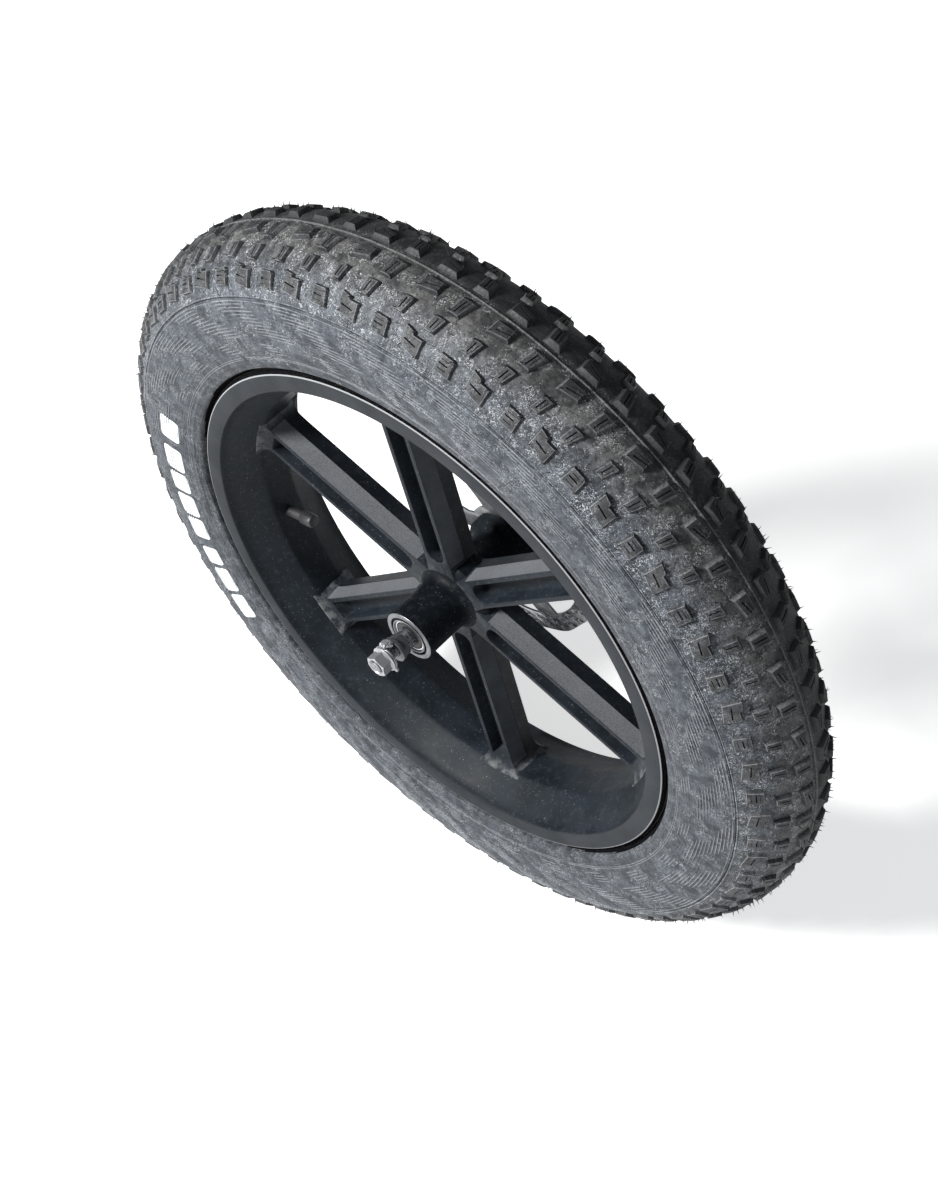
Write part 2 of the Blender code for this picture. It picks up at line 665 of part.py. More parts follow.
def build_nut(side, sign, parent):
    """Hexagonal axle nut with a round flange at its foot."""
    def span(offsets):
        return across(sign, NUT_FOOT + offsets[0], NUT_FOOT + offsets[1])

    low, high = span(NUT_HEX)
    hexes = [hexagon(HEX_FLATS)]
    nut = as_mesh(flat(f"axle_nut_{side}", hexes, low, high, ZINC, parent=parent))
    for name, radius, offsets, operation in (
        ("flange", NUT_FLANGE_RADIUS, NUT_FLANGE, "UNION"),
        ("bore", AXLE_BORE, NUT_BORE, "DIFFERENCE"),
    ):
        tool = cylinder(f"nut_{name}_{side}", radius, *span(offsets), HUB_STEPS, ALONG_AXLE)
        boolean(nut, tool, operation)


def build_all():
    axle_axis = empty("axle_axis")
    wheel_axis = empty("wheel_axis", axle_axis)

    build_casing(wheel_axis)
    for side, sign, _ in SIDES:
        build_bead(side, sign, wheel_axis)
    build_tread(wheel_axis)
    tube = build_tube(wheel_axis)
    flap = build_flap(wheel_axis)
    wheel = build_cast_wheel(wheel_axis)
    build_valve(tube, flap, wheel, wheel_axis)
    build_rotor(wheel_axis)

    build_axle(axle_axis)
    for side, sign, middle in SIDES:
        build_bearing(side, sign, middle, wheel_axis, axle_axis)
        build_stack(side, sign, middle, axle_axis)
        washer_axis = empty(f"washer_axis_{side}", axle_axis, shift(y=sign * WASHER_Y))
        build_washer(side, sign, washer_axis)
        build_nut(side, sign, empty(f"nut_axis_{side}", washer_axis))


build_all()
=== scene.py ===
"""The looks of a 20 x 4.0 fat bicycle tire on its cast wheel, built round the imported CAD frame.

The axle lies along Y and the near (left) side faces -Y. Lengths are millimetres and become metres
when a mesh is made. theta is the angle about the axle in degrees, from +X towards +Z. arc is the
distance over the tire's outside from the crown, positive towards the near side. Outlines are
closed lists of (radius, y), turned about the axle.
"""

import math

import bmesh
import bpy
import numpy as np
from mathutils import Matrix, Vector


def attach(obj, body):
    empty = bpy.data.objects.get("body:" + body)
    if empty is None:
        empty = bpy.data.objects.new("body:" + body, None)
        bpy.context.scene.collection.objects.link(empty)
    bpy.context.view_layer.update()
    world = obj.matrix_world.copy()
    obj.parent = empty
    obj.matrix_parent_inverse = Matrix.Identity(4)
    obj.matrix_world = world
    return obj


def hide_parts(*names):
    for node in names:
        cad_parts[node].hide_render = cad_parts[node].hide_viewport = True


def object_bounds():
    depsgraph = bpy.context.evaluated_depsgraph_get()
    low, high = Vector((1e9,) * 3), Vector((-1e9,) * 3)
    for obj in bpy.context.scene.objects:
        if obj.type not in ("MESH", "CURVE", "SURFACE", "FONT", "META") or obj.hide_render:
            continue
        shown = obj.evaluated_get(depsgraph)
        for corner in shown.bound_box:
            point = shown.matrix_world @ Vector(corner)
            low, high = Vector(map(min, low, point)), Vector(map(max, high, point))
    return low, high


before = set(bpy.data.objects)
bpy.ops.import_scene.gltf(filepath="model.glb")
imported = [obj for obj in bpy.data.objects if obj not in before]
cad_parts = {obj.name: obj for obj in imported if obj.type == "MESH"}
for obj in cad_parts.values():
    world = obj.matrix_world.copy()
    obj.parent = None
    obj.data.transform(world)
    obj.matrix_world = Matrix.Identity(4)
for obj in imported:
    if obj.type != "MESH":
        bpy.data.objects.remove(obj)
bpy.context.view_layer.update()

MM = 0.001
rng = np.random.default_rng(20)


# ---------------------------------------------------------------- material helpers
class Signal:
    """A node's output, which arithmetic joins to numbers and to other signals."""

    def __init__(self, owner, socket):
        self.owner = owner
        self.socket = socket

    def math(self, operation, other=0.0):
        inputs = {0: self, 1: other, 2: 0.0}
        return self.owner.node("Math", 0, inputs, operation=operation)

    def __add__(self, other):
        return self.math("ADD", other)

    def __sub__(self, other):
        return self.math("SUBTRACT", other)

    def __mul__(self, other):
        return self.math("MULTIPLY", other)

    def __truediv__(self, other):
        return self.math("DIVIDE", other)

    def abs(self):
        return self.math("ABSOLUTE")

    def waves(self, spacing):
        """Sine waves along a length in metres, spacing mm apart."""
        return (self * (2 * math.pi * 1000 / spacing)).math("SINE")

    def ramp(self, between=(0.3, 0.7), to=(0.0, 1.0), kind="SMOOTHSTEP"):
        inputs = {"Value": self, "From Min": between[0], "From Max": between[1]}
        inputs.update({"To Min": to[0], "To Max": to[1]})
        return self.owner.node("MapRange", "Result", inputs, interpolation_type=kind)

    def bump(self, depth, strength, onto=None):
        """A normal from this height; depth is in mm, onto is a normal to add to."""
        inputs = {"Strength": strength, "Distance": depth * MM, "Height": self}
        if onto:
            inputs["Normal"] = onto
        return self.owner.node("Bump", "Normal", inputs)


class Material:
    """A new material and short ways to add nodes to it. Sizes are in mm."""

    def __init__(self, name):
        self.data = bpy.data.materials.new(name)
        self.data.use_nodes = True
        self.nodes = self.data.node_tree.nodes
        self.shader = self.nodes["Principled BSDF"]
        spots = self.nodes.new("ShaderNodeTexCoord").outputs
        self.place = Signal(self, spots["Object"])
        self.facing = Signal(self, spots["Normal"])

    def fill(self, socket, value):
        """Joins a signal to an input, or sets a number or a colour on it."""
        if isinstance(value, Signal):
            self.data.node_tree.links.new(value.socket, socket)
        else:
            socket.default_value = (*value, 1) if isinstance(value, tuple) else value

    def node(self, kind, output, inputs, **settings):
        node = self.nodes.new("ShaderNode" + kind)
        for key, value in settings.items():
            setattr(node, key, value)
        for key, value in inputs.items():
            self.fill(node.inputs[key], value)
        return Signal(self, node.outputs[output])

    def noise(self, size, detail=3.0, rough=0.55, distortion=0.0, where=None):
        inputs = {"Vector": where or self.place, "Scale": 1000 / size, "Detail": detail}
        inputs.update({"Roughness": rough, "Distortion": distortion})
        return self.node("TexNoise", "Fac", inputs)

    def cells(self, size):
        inputs = {"Vector": self.place, "Scale": 1000 / size}
        return self.node("TexVoronoi", "Distance", inputs, feature="F1")

    def mix(self, share, base, other):
        return self.node("Mix", 2, {0: share, 6: base, 7: other}, data_type="RGBA")

    def axis(self, letter, of=None):
        return self.node("SeparateXYZ", letter, {0: of or self.place})

    def radius(self):
        x, z = self.axis("X"), self.axis("Z")
        return (x * x + z * z).math("SQRT")

    def worn(self):
        return self.node("Attribute", "Fac", {}, attribute_name="worn")

    def streaks(self, along, across):
        """Noise drawn out along the tire's turn; it has no seam."""
        radius = self.radius()
        turns = 1500 / along / (2 * math.pi)
        place = {letter: self.axis(letter) / radius * turns for letter in "XZ"}
        place["Y"] = (radius - self.axis("Y")) * (1000 / across)
        return self.noise(size=1000, detail=2, where=self.node("CombineXYZ", 0, place))

    def spiral(self, pitch, starts, sway):
        """Waves that wind slowly outwards, swayed by a noise. A whole starts leaves no seam."""
        angle = self.axis("Z").math("ARCTAN2", self.axis("X"))
        phase = self.radius() * (2 * math.pi * 1000 / pitch) + angle * starts
        return (phase + sway * 9.0).math("SINE")

    def done(self, colour, roughness, normal=None, metallic=0.0, specular=0.5):
        inputs = {"Base Color": colour, "Roughness": roughness, "Metallic": metallic}
        inputs.update({"Specular IOR Level": specular, "Sheen Roughness": 0.6})
        if normal:
            inputs["Normal"] = normal
        for key, value in inputs.items():
            self.fill(self.shader.inputs[key], value)
        return self.data


def scaled(colour, factor):
    return tuple(factor * channel for channel in colour)


# ---------------------------------------------------------------- materials
def rubber(name, colours, film, fleck, hatch=0.0, sides=None, knob=False):
    """Moulded rubber with a film of dust, clumps of flecks and fine streaks round the wheel.

    colours and sides are (dark, middle, dust); sides takes over towards the tire's sides. film,
    fleck and hatch are the strengths of the dust, the flecks and the wavy moulded lines.
    """
    mat = Material(name)
    dark, middle, dust = colours
    if sides:
        spread = mat.axis("Y").abs() + mat.noise(size=12) * 0.012
        towards = spread.ramp(between=(0.022, 0.042))
        dark, middle, dust = (mat.mix(towards, *pair) for pair in zip(colours, sides))
    patch = mat.noise(size=6.5, detail=4, rough=0.62, distortion=0.6)
    grain = mat.noise(size=1.3, rough=0.7)
    streak = mat.streaks(along=16, across=1.3)
    colour = mat.mix(patch.ramp(between=(0.38, 0.62)), dark, middle)
    # the film of dust
    cloud = mat.noise(size=13, detail=5, rough=0.62, distortion=0.8)
    veil = cloud.ramp(between=(0.44, 0.62)) * grain.ramp(between=(0.42, 0.58), to=(0.3, 1.0))
    colour = mat.mix(veil * film, colour, dust)
    bright = mat.mix(0.55, dust, (0.62, 0.64, 0.66))
    # clumps of small flecks and thin worm-shaped marks
    clump = mat.noise(size=10, rough=0.6).ramp(between=(0.44, 0.58))
    if sides:
        clump = clump + towards * 0.45
    small = mat.noise(size=1.7, rough=0.62, distortion=1.8).ramp(between=(0.56, 0.63))
    worm = (mat.noise(size=3.4, detail=2, rough=0.5, distortion=1.2) - 0.5).abs()
    worm = worm.ramp(between=(0.0, 0.022), to=(1.0, 0.0))
    flecks = small.math("MAXIMUM", worm * 0.55) * (clump * fleck)
    colour = mat.mix(flecks.math("MINIMUM", 1.0), colour, bright)
    height = grain * 0.5 + streak * 0.5
    if hatch:
        sway = mat.noise(size=26, detail=4)
        where = mat.noise(size=22).ramp(between=(0.5, 0.58))
        lines = mat.spiral(pitch=2.4, starts=26, sway=sway).ramp(between=(0.0, 0.9)) * where
        other = mat.spiral(pitch=2.1, starts=-40, sway=sway).ramp(between=(0.2, 0.9))
        other = other * mat.noise(size=17, detail=2).ramp(between=(0.56, 0.62))
        lines = lines.math("MAXIMUM", other)
        shown = grain.ramp(between=(0.4, 0.58), to=(0.0, hatch))
        colour = mat.mix(lines * shown, colour, dust)
        colour = mat.mix(streak.ramp(between=(0.6, 0.7)) * 0.3, colour, dust)
        height = height + lines * 0.9
        # painted shade: greyer and darker where the bead meets the rim
        inner = (mat.radius() + patch * 0.008).ramp(between=(0.216, 0.244), to=(1.0, 0.0))
        colour = mat.mix(inner * 0.22, colour, (0.021, 0.0225, 0.025))
    scuffed = mat.worn() * grain.ramp(between=(0.36, 0.6), to=(0.25, 0.6))
    colour = mat.mix(scuffed, colour, bright)
    pits = mat.noise(size=2.2, detail=2, rough=0.6).ramp(between=(0.34, 0.42), to=(1.0, 0.0))
    colour = mat.mix(pits * 0.7, colour, (0.008, 0.009, 0.011))
    # painted shade: the far side of the tire is darker, where less light falls
    if sides or knob:  # the far side stays darker
        far_shade = (mat.axis("Y") + patch * 0.008).ramp(between=(-0.007, 0.013))
        colour = mat.mix(far_shade * 0.8, colour, (0.009, 0.01, 0.011))
    if knob:  # painted shade: the knobs are darker over the crown
        crown = mat.axis("Y").abs().ramp(between=(0.016, 0.034), to=(1.0, 0.0))
        colour = mat.mix(crown * 0.45, colour, (0.014, 0.0148, 0.016))
    normal = height.bump(depth=0.5, strength=0.7, onto=patch.bump(depth=0.5, strength=0.4))
    return mat.done(colour, grain.ramp(to=(0.5, 0.8)), normal, specular=0.4)


def white_print():
    mat = Material("white_print")
    rubbed = mat.noise(size=2.2, detail=4, rough=0.7)
    share = rubbed.ramp(between=(0.52, 0.72), to=(0, 0.55))
    colour = mat.mix(share, (0.72, 0.74, 0.76), (0.34, 0.36, 0.39))
    return mat.done(colour, rubbed.ramp(to=(0.5, 0.75)), rubbed.bump(depth=0.12, strength=0.5))


def cast_paint(name, deep):
    """Satin black paint over a casting, with specks and a film of dust. deep scales its colour
    and sheen; below one it paints shade on a part that lies in shadow.
    """
    mat = Material(name)
    skin = mat.noise(size=1.1, rough=0.6)
    broad = mat.noise(size=26)
    shades = scaled((0.0064, 0.0096, 0.0136), deep), scaled((0.0115, 0.0165, 0.0228), deep)
    colour = mat.mix(broad.ramp(), *shades)
    film = mat.noise(size=5, detail=5, rough=0.7).ramp(between=(0.5, 0.74)) * 0.09
    colour = mat.mix(film, colour, (0.175, 0.2, 0.22))
    specks = mat.noise(size=1.2, detail=2, rough=0.5).ramp(between=(0.69, 0.75)) * 0.5
    colour = mat.mix(specks, colour, (0.34, 0.34, 0.34))
    # worn above nought marks hollows and edges that hold dust
    patchy = mat.noise(size=7, detail=4, rough=0.6).ramp(between=(0.38, 0.62), to=(0.05, 0.6))
    settled = mat.worn().math("MAXIMUM", 0.0) * patchy
    colour = mat.mix(settled, colour, (0.19, 0.195, 0.2))
    # worn below nought marks ledges: painted light lightens them, with more dust where they look
    # up
    upward = mat.axis("Z", of=mat.facing)
    lit_dusty_ledge = (mat.worn() * -1.0).math("MAXIMUM", 0.0)
    colour = mat.mix(lit_dusty_ledge * broad.ramp(to=(0.35, 0.55)), colour, (0.092, 0.1, 0.112))
    grains = mat.noise(size=0.9, rough=0.6).ramp(between=(0.36, 0.6), to=(0.45, 1.0))
    lying = upward.ramp(between=(0.25, 0.85)) * (lit_dusty_ledge * grains)
    colour = mat.mix(lying * 0.62, colour, (0.17, 0.175, 0.185))
    normal = skin.bump(depth=0.05, strength=0.35)
    normal = mat.noise(size=9, detail=2).bump(depth=0.12, strength=0.25, onto=normal)
    return mat.done(colour, broad.ramp(to=(0.5, 0.62)), normal, specular=0.2 * deep)


def lip_paint():
    """The lip's flat side face: greyer with dust, and lighter along its rounded outer edge,
    partly rubbed paint and partly a painted highlight.
    """
    mat = Material("dusty_lip_paint")
    fine = mat.noise(size=1.0, rough=0.65)
    broad = mat.noise(size=30)
    colour = mat.mix(broad.ramp(), (0.0165, 0.0192, 0.023), (0.027, 0.0305, 0.0355))
    colour = mat.mix(fine.ramp(between=(0.5, 0.7)) * 0.3, colour, (0.066, 0.071, 0.078))
    # painted highlight, partly rubbed paint, along the lip's rounded outer edge
    colour = mat.mix(mat.worn(), colour, (0.3, 0.31, 0.32))
    normal = fine.bump(depth=0.06, strength=0.35)
    return mat.done(colour, fine.ramp(to=(0.5, 0.62)), normal, specular=0.1)


def machined(name, colour, rough, spacing, metallic=1.0, grime=0.3):
    """Turned or ground metal, with tool rings about the axle and grime in patches."""
    mat = Material(name)
    patch = mat.noise(size=4, detail=4, rough=0.65)
    share = patch.ramp(between=(0.45, 0.75)) * grime
    shade = mat.mix(share, colour, scaled(colour, 0.45))
    normal = mat.radius().waves(spacing).bump(depth=0.012, strength=0.5)
    normal = mat.noise(size=1.2).bump(depth=0.04, strength=0.25, onto=normal)
    roughness = patch.ramp(between=(0.3, 0.75), to=(rough * 0.75, rough * 1.4))
    return mat.done(shade, roughness, normal, metallic=metallic)


def zinc():
    """Bright zinc plate with a faint spangle, greyer in patches."""
    mat = Material("zinc_plate")
    patch = mat.noise(size=3.2, detail=4, rough=0.65)
    share = patch.ramp(between=(0.35, 0.7))
    colour = mat.mix(share, (0.42, 0.43, 0.45), (0.33, 0.34, 0.36))
    spots = mat.noise(size=0.8, detail=2).ramp(between=(0.62, 0.74)) * 0.15
    colour = mat.mix(spots, colour, (0.16, 0.155, 0.15))
    normal = mat.cells(size=1.4).bump(depth=0.02, strength=0.2)
    return mat.done(colour, patch.ramp(to=(0.34, 0.44)), normal, metallic=0.68)


def greasy_steel():
    mat = Material("greasy_steel")
    patch = mat.noise(size=2.6, detail=4, rough=0.65)
    share = patch.ramp(between=(0.4, 0.65))
    colour = mat.mix(share, (0.3, 0.31, 0.33), (0.05, 0.05, 0.055))
    normal = patch.bump(depth=0.08, strength=0.4)
    return mat.done(colour, patch.ramp(to=(0.28, 0.55)), normal, metallic=0.85)


def moulded(name, colour, rough, size=1.2, metallic=0.0, depth=0.06, lighter=1.5):
    """A grained surface; lighter scales the colour of its paler patches."""
    mat = Material(name)
    grain = mat.noise(size=size, rough=0.6)
    shade = mat.mix(mat.noise(size=size * 6).ramp(), colour, scaled(colour, lighter))
    roughness = grain.ramp(to=(rough * 0.85, rough * 1.15))
    return mat.done(shade, roughness, grain.bump(depth=depth, strength=0.4), metallic=metallic)


def weave(name, colour):
    mat = Material(name)
    along = mat.axis("Y").waves(spacing=1.1)
    x, z = mat.axis("X"), mat.axis("Z")
    threads = along * (z.math("ARCTAN2", x) * 1150).math("SINE")
    shade = mat.mix(threads.ramp(between=(-0.8, 0.8)), scaled(colour, 0.5), colour)
    roughness = mat.noise(size=1.5).ramp(to=(0.8, 0.97))
    return mat.done(shade, roughness, threads.bump(depth=0.12, strength=0.6))


def coiled(name, colour):
    """Strands that wind slantwise round the ring."""
    mat = Material(name)
    strands = ((mat.axis("Y") * 1000 + mat.radius() * 800) * 7).math("SINE")
    shade = mat.mix(strands.ramp(between=(-1, 1)), scaled(colour, 0.6), colour)
    roughness = mat.noise(size=1.5).ramp(to=(0.25, 0.45))
    return mat.done(shade, roughness, strands.bump(depth=0.06, strength=0.5), metallic=1)


def painted_slit_shade():
    """Painted shade: near-black colour, mottled a little, in the slit between the rim and the
    bead, where shadow falls.
    """
    mat = Material("painted_slit_shade")
    coarse = mat.noise(size=1.6, detail=4, rough=0.65)
    share = coarse.ramp(between=(0.4, 0.7))
    colour = mat.mix(share, (0.002, 0.002, 0.003), (0.012, 0.012, 0.013))
    normal = coarse.bump(depth=0.1, strength=0.5)
    return mat.done(colour, coarse.ramp(to=(0.85, 1.0)), normal, specular=0.02)


# dark, middle and dust colours
SIDE_COLOURS = ((0.016, 0.0205, 0.027), (0.042, 0.05, 0.062), (0.14, 0.157, 0.18))
TREAD_COLOURS = ((0.02, 0.021, 0.022), (0.06, 0.0595, 0.058), (0.18, 0.18, 0.178))
KNOB_COLOURS = ((0.02, 0.022, 0.0245), (0.045, 0.047, 0.05), (0.13, 0.136, 0.145))
RUBBER_SIDE = rubber("dusty_side_rubber", SIDE_COLOURS, film=0.42, fleck=0.7, hatch=0.42)
RUBBER_TREAD = rubber(
    "dusty_tread_rubber", TREAD_COLOURS, film=0.55, fleck=1.0, sides=SIDE_COLOURS
)
RUBBER_KNOB = rubber("knob_rubber", KNOB_COLOURS, film=0.32, fleck=0.5, knob=True)
# near-black painted shade for the slit between the rim and the bead
SLIT_SHADE = painted_slit_shade()
PAINT = cast_paint("satin_black_paint", deep=1.0)
# the hub's paint, darker and duller than the rest: painted shade
HUB_SHADED_PAINT = cast_paint("shaded_hub_paint", deep=0.45)
LIP = lip_paint()
WHITE = white_print()
FACED = machined(
    "machined_aluminium", (0.2, 0.21, 0.22), rough=0.44, spacing=0.42, metallic=0.75, grime=0.55
)
BEARING = machined(
    "bearing_steel_ground", (0.62, 0.63, 0.65), rough=0.22, spacing=0.3, grime=0.25
)
DISC = machined("disc_steel_ground", (0.5, 0.51, 0.53), rough=0.3, spacing=0.55)
DISC_ARM = moulded(
    "disc_arm_steel", (0.36, 0.37, 0.38), rough=0.42, size=1.0, metallic=1.0, depth=0.03,
    lighter=1.2,
)
ZINC = zinc()
GREASY = greasy_steel()
AXLE_END = machined(
    "axle_end_steel", (0.26, 0.265, 0.28), rough=0.52, spacing=0.5, metallic=0.6, grime=0.5
)
SEAL = moulded("seal_rubber_black", (0.014, 0.014, 0.015), rough=0.55)
NYLON = moulded(
    "cage_nylon_natural", (0.42, 0.35, 0.23), rough=0.5, size=0.9, depth=0.05, lighter=1.15
)
BUTYL = moulded("butyl_rubber_black", (0.016, 0.016, 0.018), rough=0.6, size=1.8)
FABRIC = weave("chafer_weave", (0.06, 0.055, 0.048))
FLAP = weave("rim_flap_tape", (0.16, 0.155, 0.15))
WIRE = coiled("bead_wire_bronzed", (0.52, 0.44, 0.3))
BRASS = machined("turned_brass", (0.72, 0.54, 0.24), rough=0.3, spacing=0.35, grime=0.35)
DARK_STEEL = machined(
    "blackened_steel", (0.16, 0.165, 0.175), rough=0.38, spacing=0.5, metallic=0.8, grime=0.5
)
CAP = moulded("cap_plastic_black", (0.018, 0.018, 0.019), rough=0.45)
BALL_STEEL = machined("ball_steel", (0.75, 0.75, 0.77), rough=0.1, spacing=0.8, grime=0.1)


# ---------------------------------------------------------------- mesh helpers
def add_object(name, data):
    obj = bpy.data.objects.new(name, data)
    bpy.context.scene.collection.objects.link(obj)
    return obj


def make(name, points, blocks, looks, indices=None, sharp=32, worn=None):
    """An object from points in mm and blocks of faces, each block with one count of corners.

    indices gives each block's material and sharp is the angle of hard edges in degrees.
    """
    mesh = bpy.data.meshes.new(name)
    points = np.asarray(points, np.float64) * MM
    blocks = [np.asarray(block, np.int64) for block in blocks]
    corners = np.concatenate([block.ravel() for block in blocks])
    sizes = np.concatenate([np.full(len(block), block.shape[1]) for block in blocks])
    starts = np.concatenate([[0], np.cumsum(sizes)[:-1]])
    mesh.vertices.add(len(points))
    mesh.vertices.foreach_set("co", points.astype(np.float32).ravel())
    mesh.loops.add(len(corners))
    mesh.loops.foreach_set("vertex_index", corners.astype(np.int32))
    mesh.polygons.add(len(sizes))
    mesh.polygons.foreach_set("loop_start", starts.astype(np.int32))
    for look in looks:
        mesh.materials.append(look)
    if indices is not None:
        counts = [len(block) for block in blocks]
        mesh.polygons.foreach_set("material_index", np.repeat(indices, counts).astype(np.int32))
    if worn is not None:
        layer = mesh.attributes.new("worn", "FLOAT", "POINT")
        layer.data.foreach_set("value", np.asarray(worn, np.float32))
    mesh.update(calc_edges=True)
    mesh.validate()
    mesh.polygons.foreach_set("use_smooth", np.ones(len(mesh.polygons), bool))
    mesh.set_sharp_from_angle(angle=math.radians(sharp))
    return add_object(name, mesh)


def stand(obj, body, slot, node):
    """Rides the piece on its body and hides the plain CAD node that it stands for."""
    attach(obj, body)
    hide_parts(node)
    return obj


def outward(obj):
    """Turns every face of a closed mesh outwards."""
    shape = bmesh.new()
    shape.from_mesh(obj.data)
    bmesh.ops.recalc_face_normals(shape, faces=shape.faces)
    shape.to_mesh(obj.data)
    shape.free()
    return obj


def polar(radius, y, turn):
    """Points at a radius and y; turn is the angle about the axle in radians."""
    radius, y, turn = np.broadcast_arrays(radius, y, turn)
    return np.stack([radius * np.cos(turn), y, radius * np.sin(turn)], axis=-1)


def circle(steps):
    return 2 * np.pi * np.arange(steps) / steps


def grid(rows, width, ring=False, wrap=True):
    """Quads over rows of points. ring joins the last row to the first; wrap closes each row."""
    row, column = np.arange(rows if ring else rows - 1), np.arange(width if wrap else width - 1)
    i, j = (index.ravel() for index in np.meshgrid(row, column, indexing="ij"))
    here, there, beside = i * width, (i + 1) % rows * width, (j + 1) % width
    return np.stack([here + j, here + beside, there + beside, there + j], axis=1)


def caps(rows, width):
    """The faces that close the first and the last row."""
    loop = np.arange(width)
    return np.array([loop[::-1], loop + (rows - 1) * width])


def wound(outline):
    """The outline in the order in which its area counts as positive."""
    outline = np.asarray(outline, float)
    radius, y = outline.T
    area = np.sum(radius * np.roll(y, -1) - np.roll(radius, -1) * y)
    return outline[::-1] if area < 0 else outline


def spans(outline):
    """The least and the greatest (radius, y) along each edge of an outline."""
    after = np.roll(outline, -1, axis=0)
    return np.minimum(outline, after), np.maximum(outline, after)


def lathe(outline, steps):
    """(points, quads) of an outline turned about the axle."""
    outline = wound(outline)
    points = polar(outline[:, 0], outline[:, 1], circle(steps)[:, None]).reshape(-1, 3)
    return points, grid(steps, len(outline), ring=True)


def rounded(outline, radius):
    """An outline with each corner rounded in three steps."""
    spots = [np.array(spot, float) for spot in outline]
    result = []
    for i, spot in enumerate(spots):
        back, ahead = spots[i - 1] - spot, spots[(i + 1) % len(spots)] - spot
        back_length, ahead_length = np.linalg.norm(back), np.linalg.norm(ahead)
        cut = min(radius, 0.45 * back_length, 0.45 * ahead_length)
        start, end = spot + back / back_length * cut, spot + ahead / ahead_length * cut
        for share in (0, 1 / 3, 2 / 3, 1):
            rest = 1 - share
            result.append(rest**2 * start + 2 * share * rest * spot + share**2 * end)
    return result


def turned(name, outline, steps, look, body, slot, node, radius):
    """A turned piece with corners rounded to radius."""
    points, quads = lathe(rounded(outline, radius), steps)
    return stand(make(name, points, [quads], [look]), body, slot, node)


class Shell:
    """Gathers closed bodies into one mesh.

    look is the index of a material, or one index per block. worn, at each point,
    marks edges and hollows that show lighter, from wear and dust and in places from painted
    light.
    """

    def __init__(self):
        self.points, self.blocks, self.looks, self.worn, self.count = [], [], [], [], 0

    def add(self, points, blocks, look=0, worn=0.0):
        looks = look if isinstance(look, list) else [look] * len(blocks)
        self.blocks += [np.asarray(block) + self.count for block in blocks]
        self.looks += looks
        self.points.append(np.asarray(points, float))
        self.worn.append(np.broadcast_to(np.asarray(worn, float), len(points)))
        self.count += len(points)

    def make(self, name, looks, sharp=32):
        points, worn = np.concatenate(self.points), np.concatenate(self.worn)
        return make(name, points, self.blocks, looks, self.looks, sharp, worn)


# ---------------------------------------------------------------- the tire's outside
# arc from the crown, half width, radius
PROFILE = [
    (0, 0, 295.9), (6, 6, 295.7), (12.1, 12, 294.6), (18.4, 18, 292.6),
    (25.2, 24, 289.4), (32.5, 30, 285.2), (37.9, 34, 281.6), (44.3, 38, 276.6),
    (51.3, 41.5, 270.5), (58.4, 44.2, 264), (65.5, 45.6, 257), (72.5, 46.3, 250),
    (79.5, 46.4, 243), (90.6, 45.6, 232), (101.7, 43.6, 221), (108.0, 42.1, 214.9),
]


def smooth_profile():
    """Fine tables of arc, half width, radius, and the outward normal's two parts."""
    arc, width_keys, radius_keys = np.array(PROFILE, float).T
    fine = np.arange(0, 108.01, 0.5)

    def hermite(key, first_slope):
        slope = np.gradient(key, arc)
        slope[0] = first_slope
        k = np.clip(np.searchsorted(arc, fine, "right") - 1, 0, len(arc) - 2)
        step = arc[k + 1] - arc[k]
        u = (fine - arc[k]) / step
        return (
            (2 * u**3 - 3 * u**2 + 1) * key[k]
            + (u**3 - 2 * u**2 + u) * step * slope[k]
            + (-2 * u**3 + 3 * u**2) * key[k + 1]
            + (u**3 - u**2) * step * slope[k + 1]
        )

    reach = 12
    soft = np.exp(-0.5 * (np.arange(-reach, reach + 1) / 5) ** 2)
    soft /= soft.sum()

    def softened(slope, mirror):
        """Smoothed slope; mirror is its sign on the far side of the crown."""
        ends = mirror * slope[reach:0:-1], np.full(reach, slope[-1])
        return np.convolve(np.concatenate([ends[0], slope, ends[1]]), soft, "valid")

    width, radius = hermite(width_keys, 1.0), hermite(radius_keys, 0.0)
    sideways = softened(np.gradient(width, fine), 1)
    outwards = softened(np.gradient(radius, fine), -1)
    size = np.hypot(sideways, outwards)
    return fine, width, radius, -outwards / size, sideways / size


FINE_ARC, FINE_WIDTH, FINE_RADIUS, NORMAL_WIDTH, NORMAL_RADIUS = smooth_profile()


def section(arc, height):
    """(radius, half width) at a height over the tire's outside."""
    arc = np.abs(arc)
    width = np.interp(arc, FINE_ARC, FINE_WIDTH) + height * np.interp(arc, FINE_ARC, NORMAL_WIDTH)
    radius = np.interp(arc, FINE_ARC, FINE_RADIUS)
    return radius + height * np.interp(arc, FINE_ARC, NORMAL_RADIUS), width


def over(theta, arc, height):
    """World points in mm at a height over the tire's outside."""
    radius, width = section(arc, height)
    return polar(radius, -np.sign(arc) * width, np.radians(theta))


def foot(arc):
    """Height of the rubber between the knobs."""
    heights = [-1.15, -1.15, -0.95, -0.75, -0.42, 0.0]
    return float(np.interp(abs(arc), [0, 15, 30, 40, 50, 54], heights))


TREAD_EDGE = 55.6  # arc
TREAD_SKIN = 1.5  # thickness of the band that bears the knobs
CASING_TOP = -TREAD_SKIN - 0.35  # height of the casing under the band, from the foot

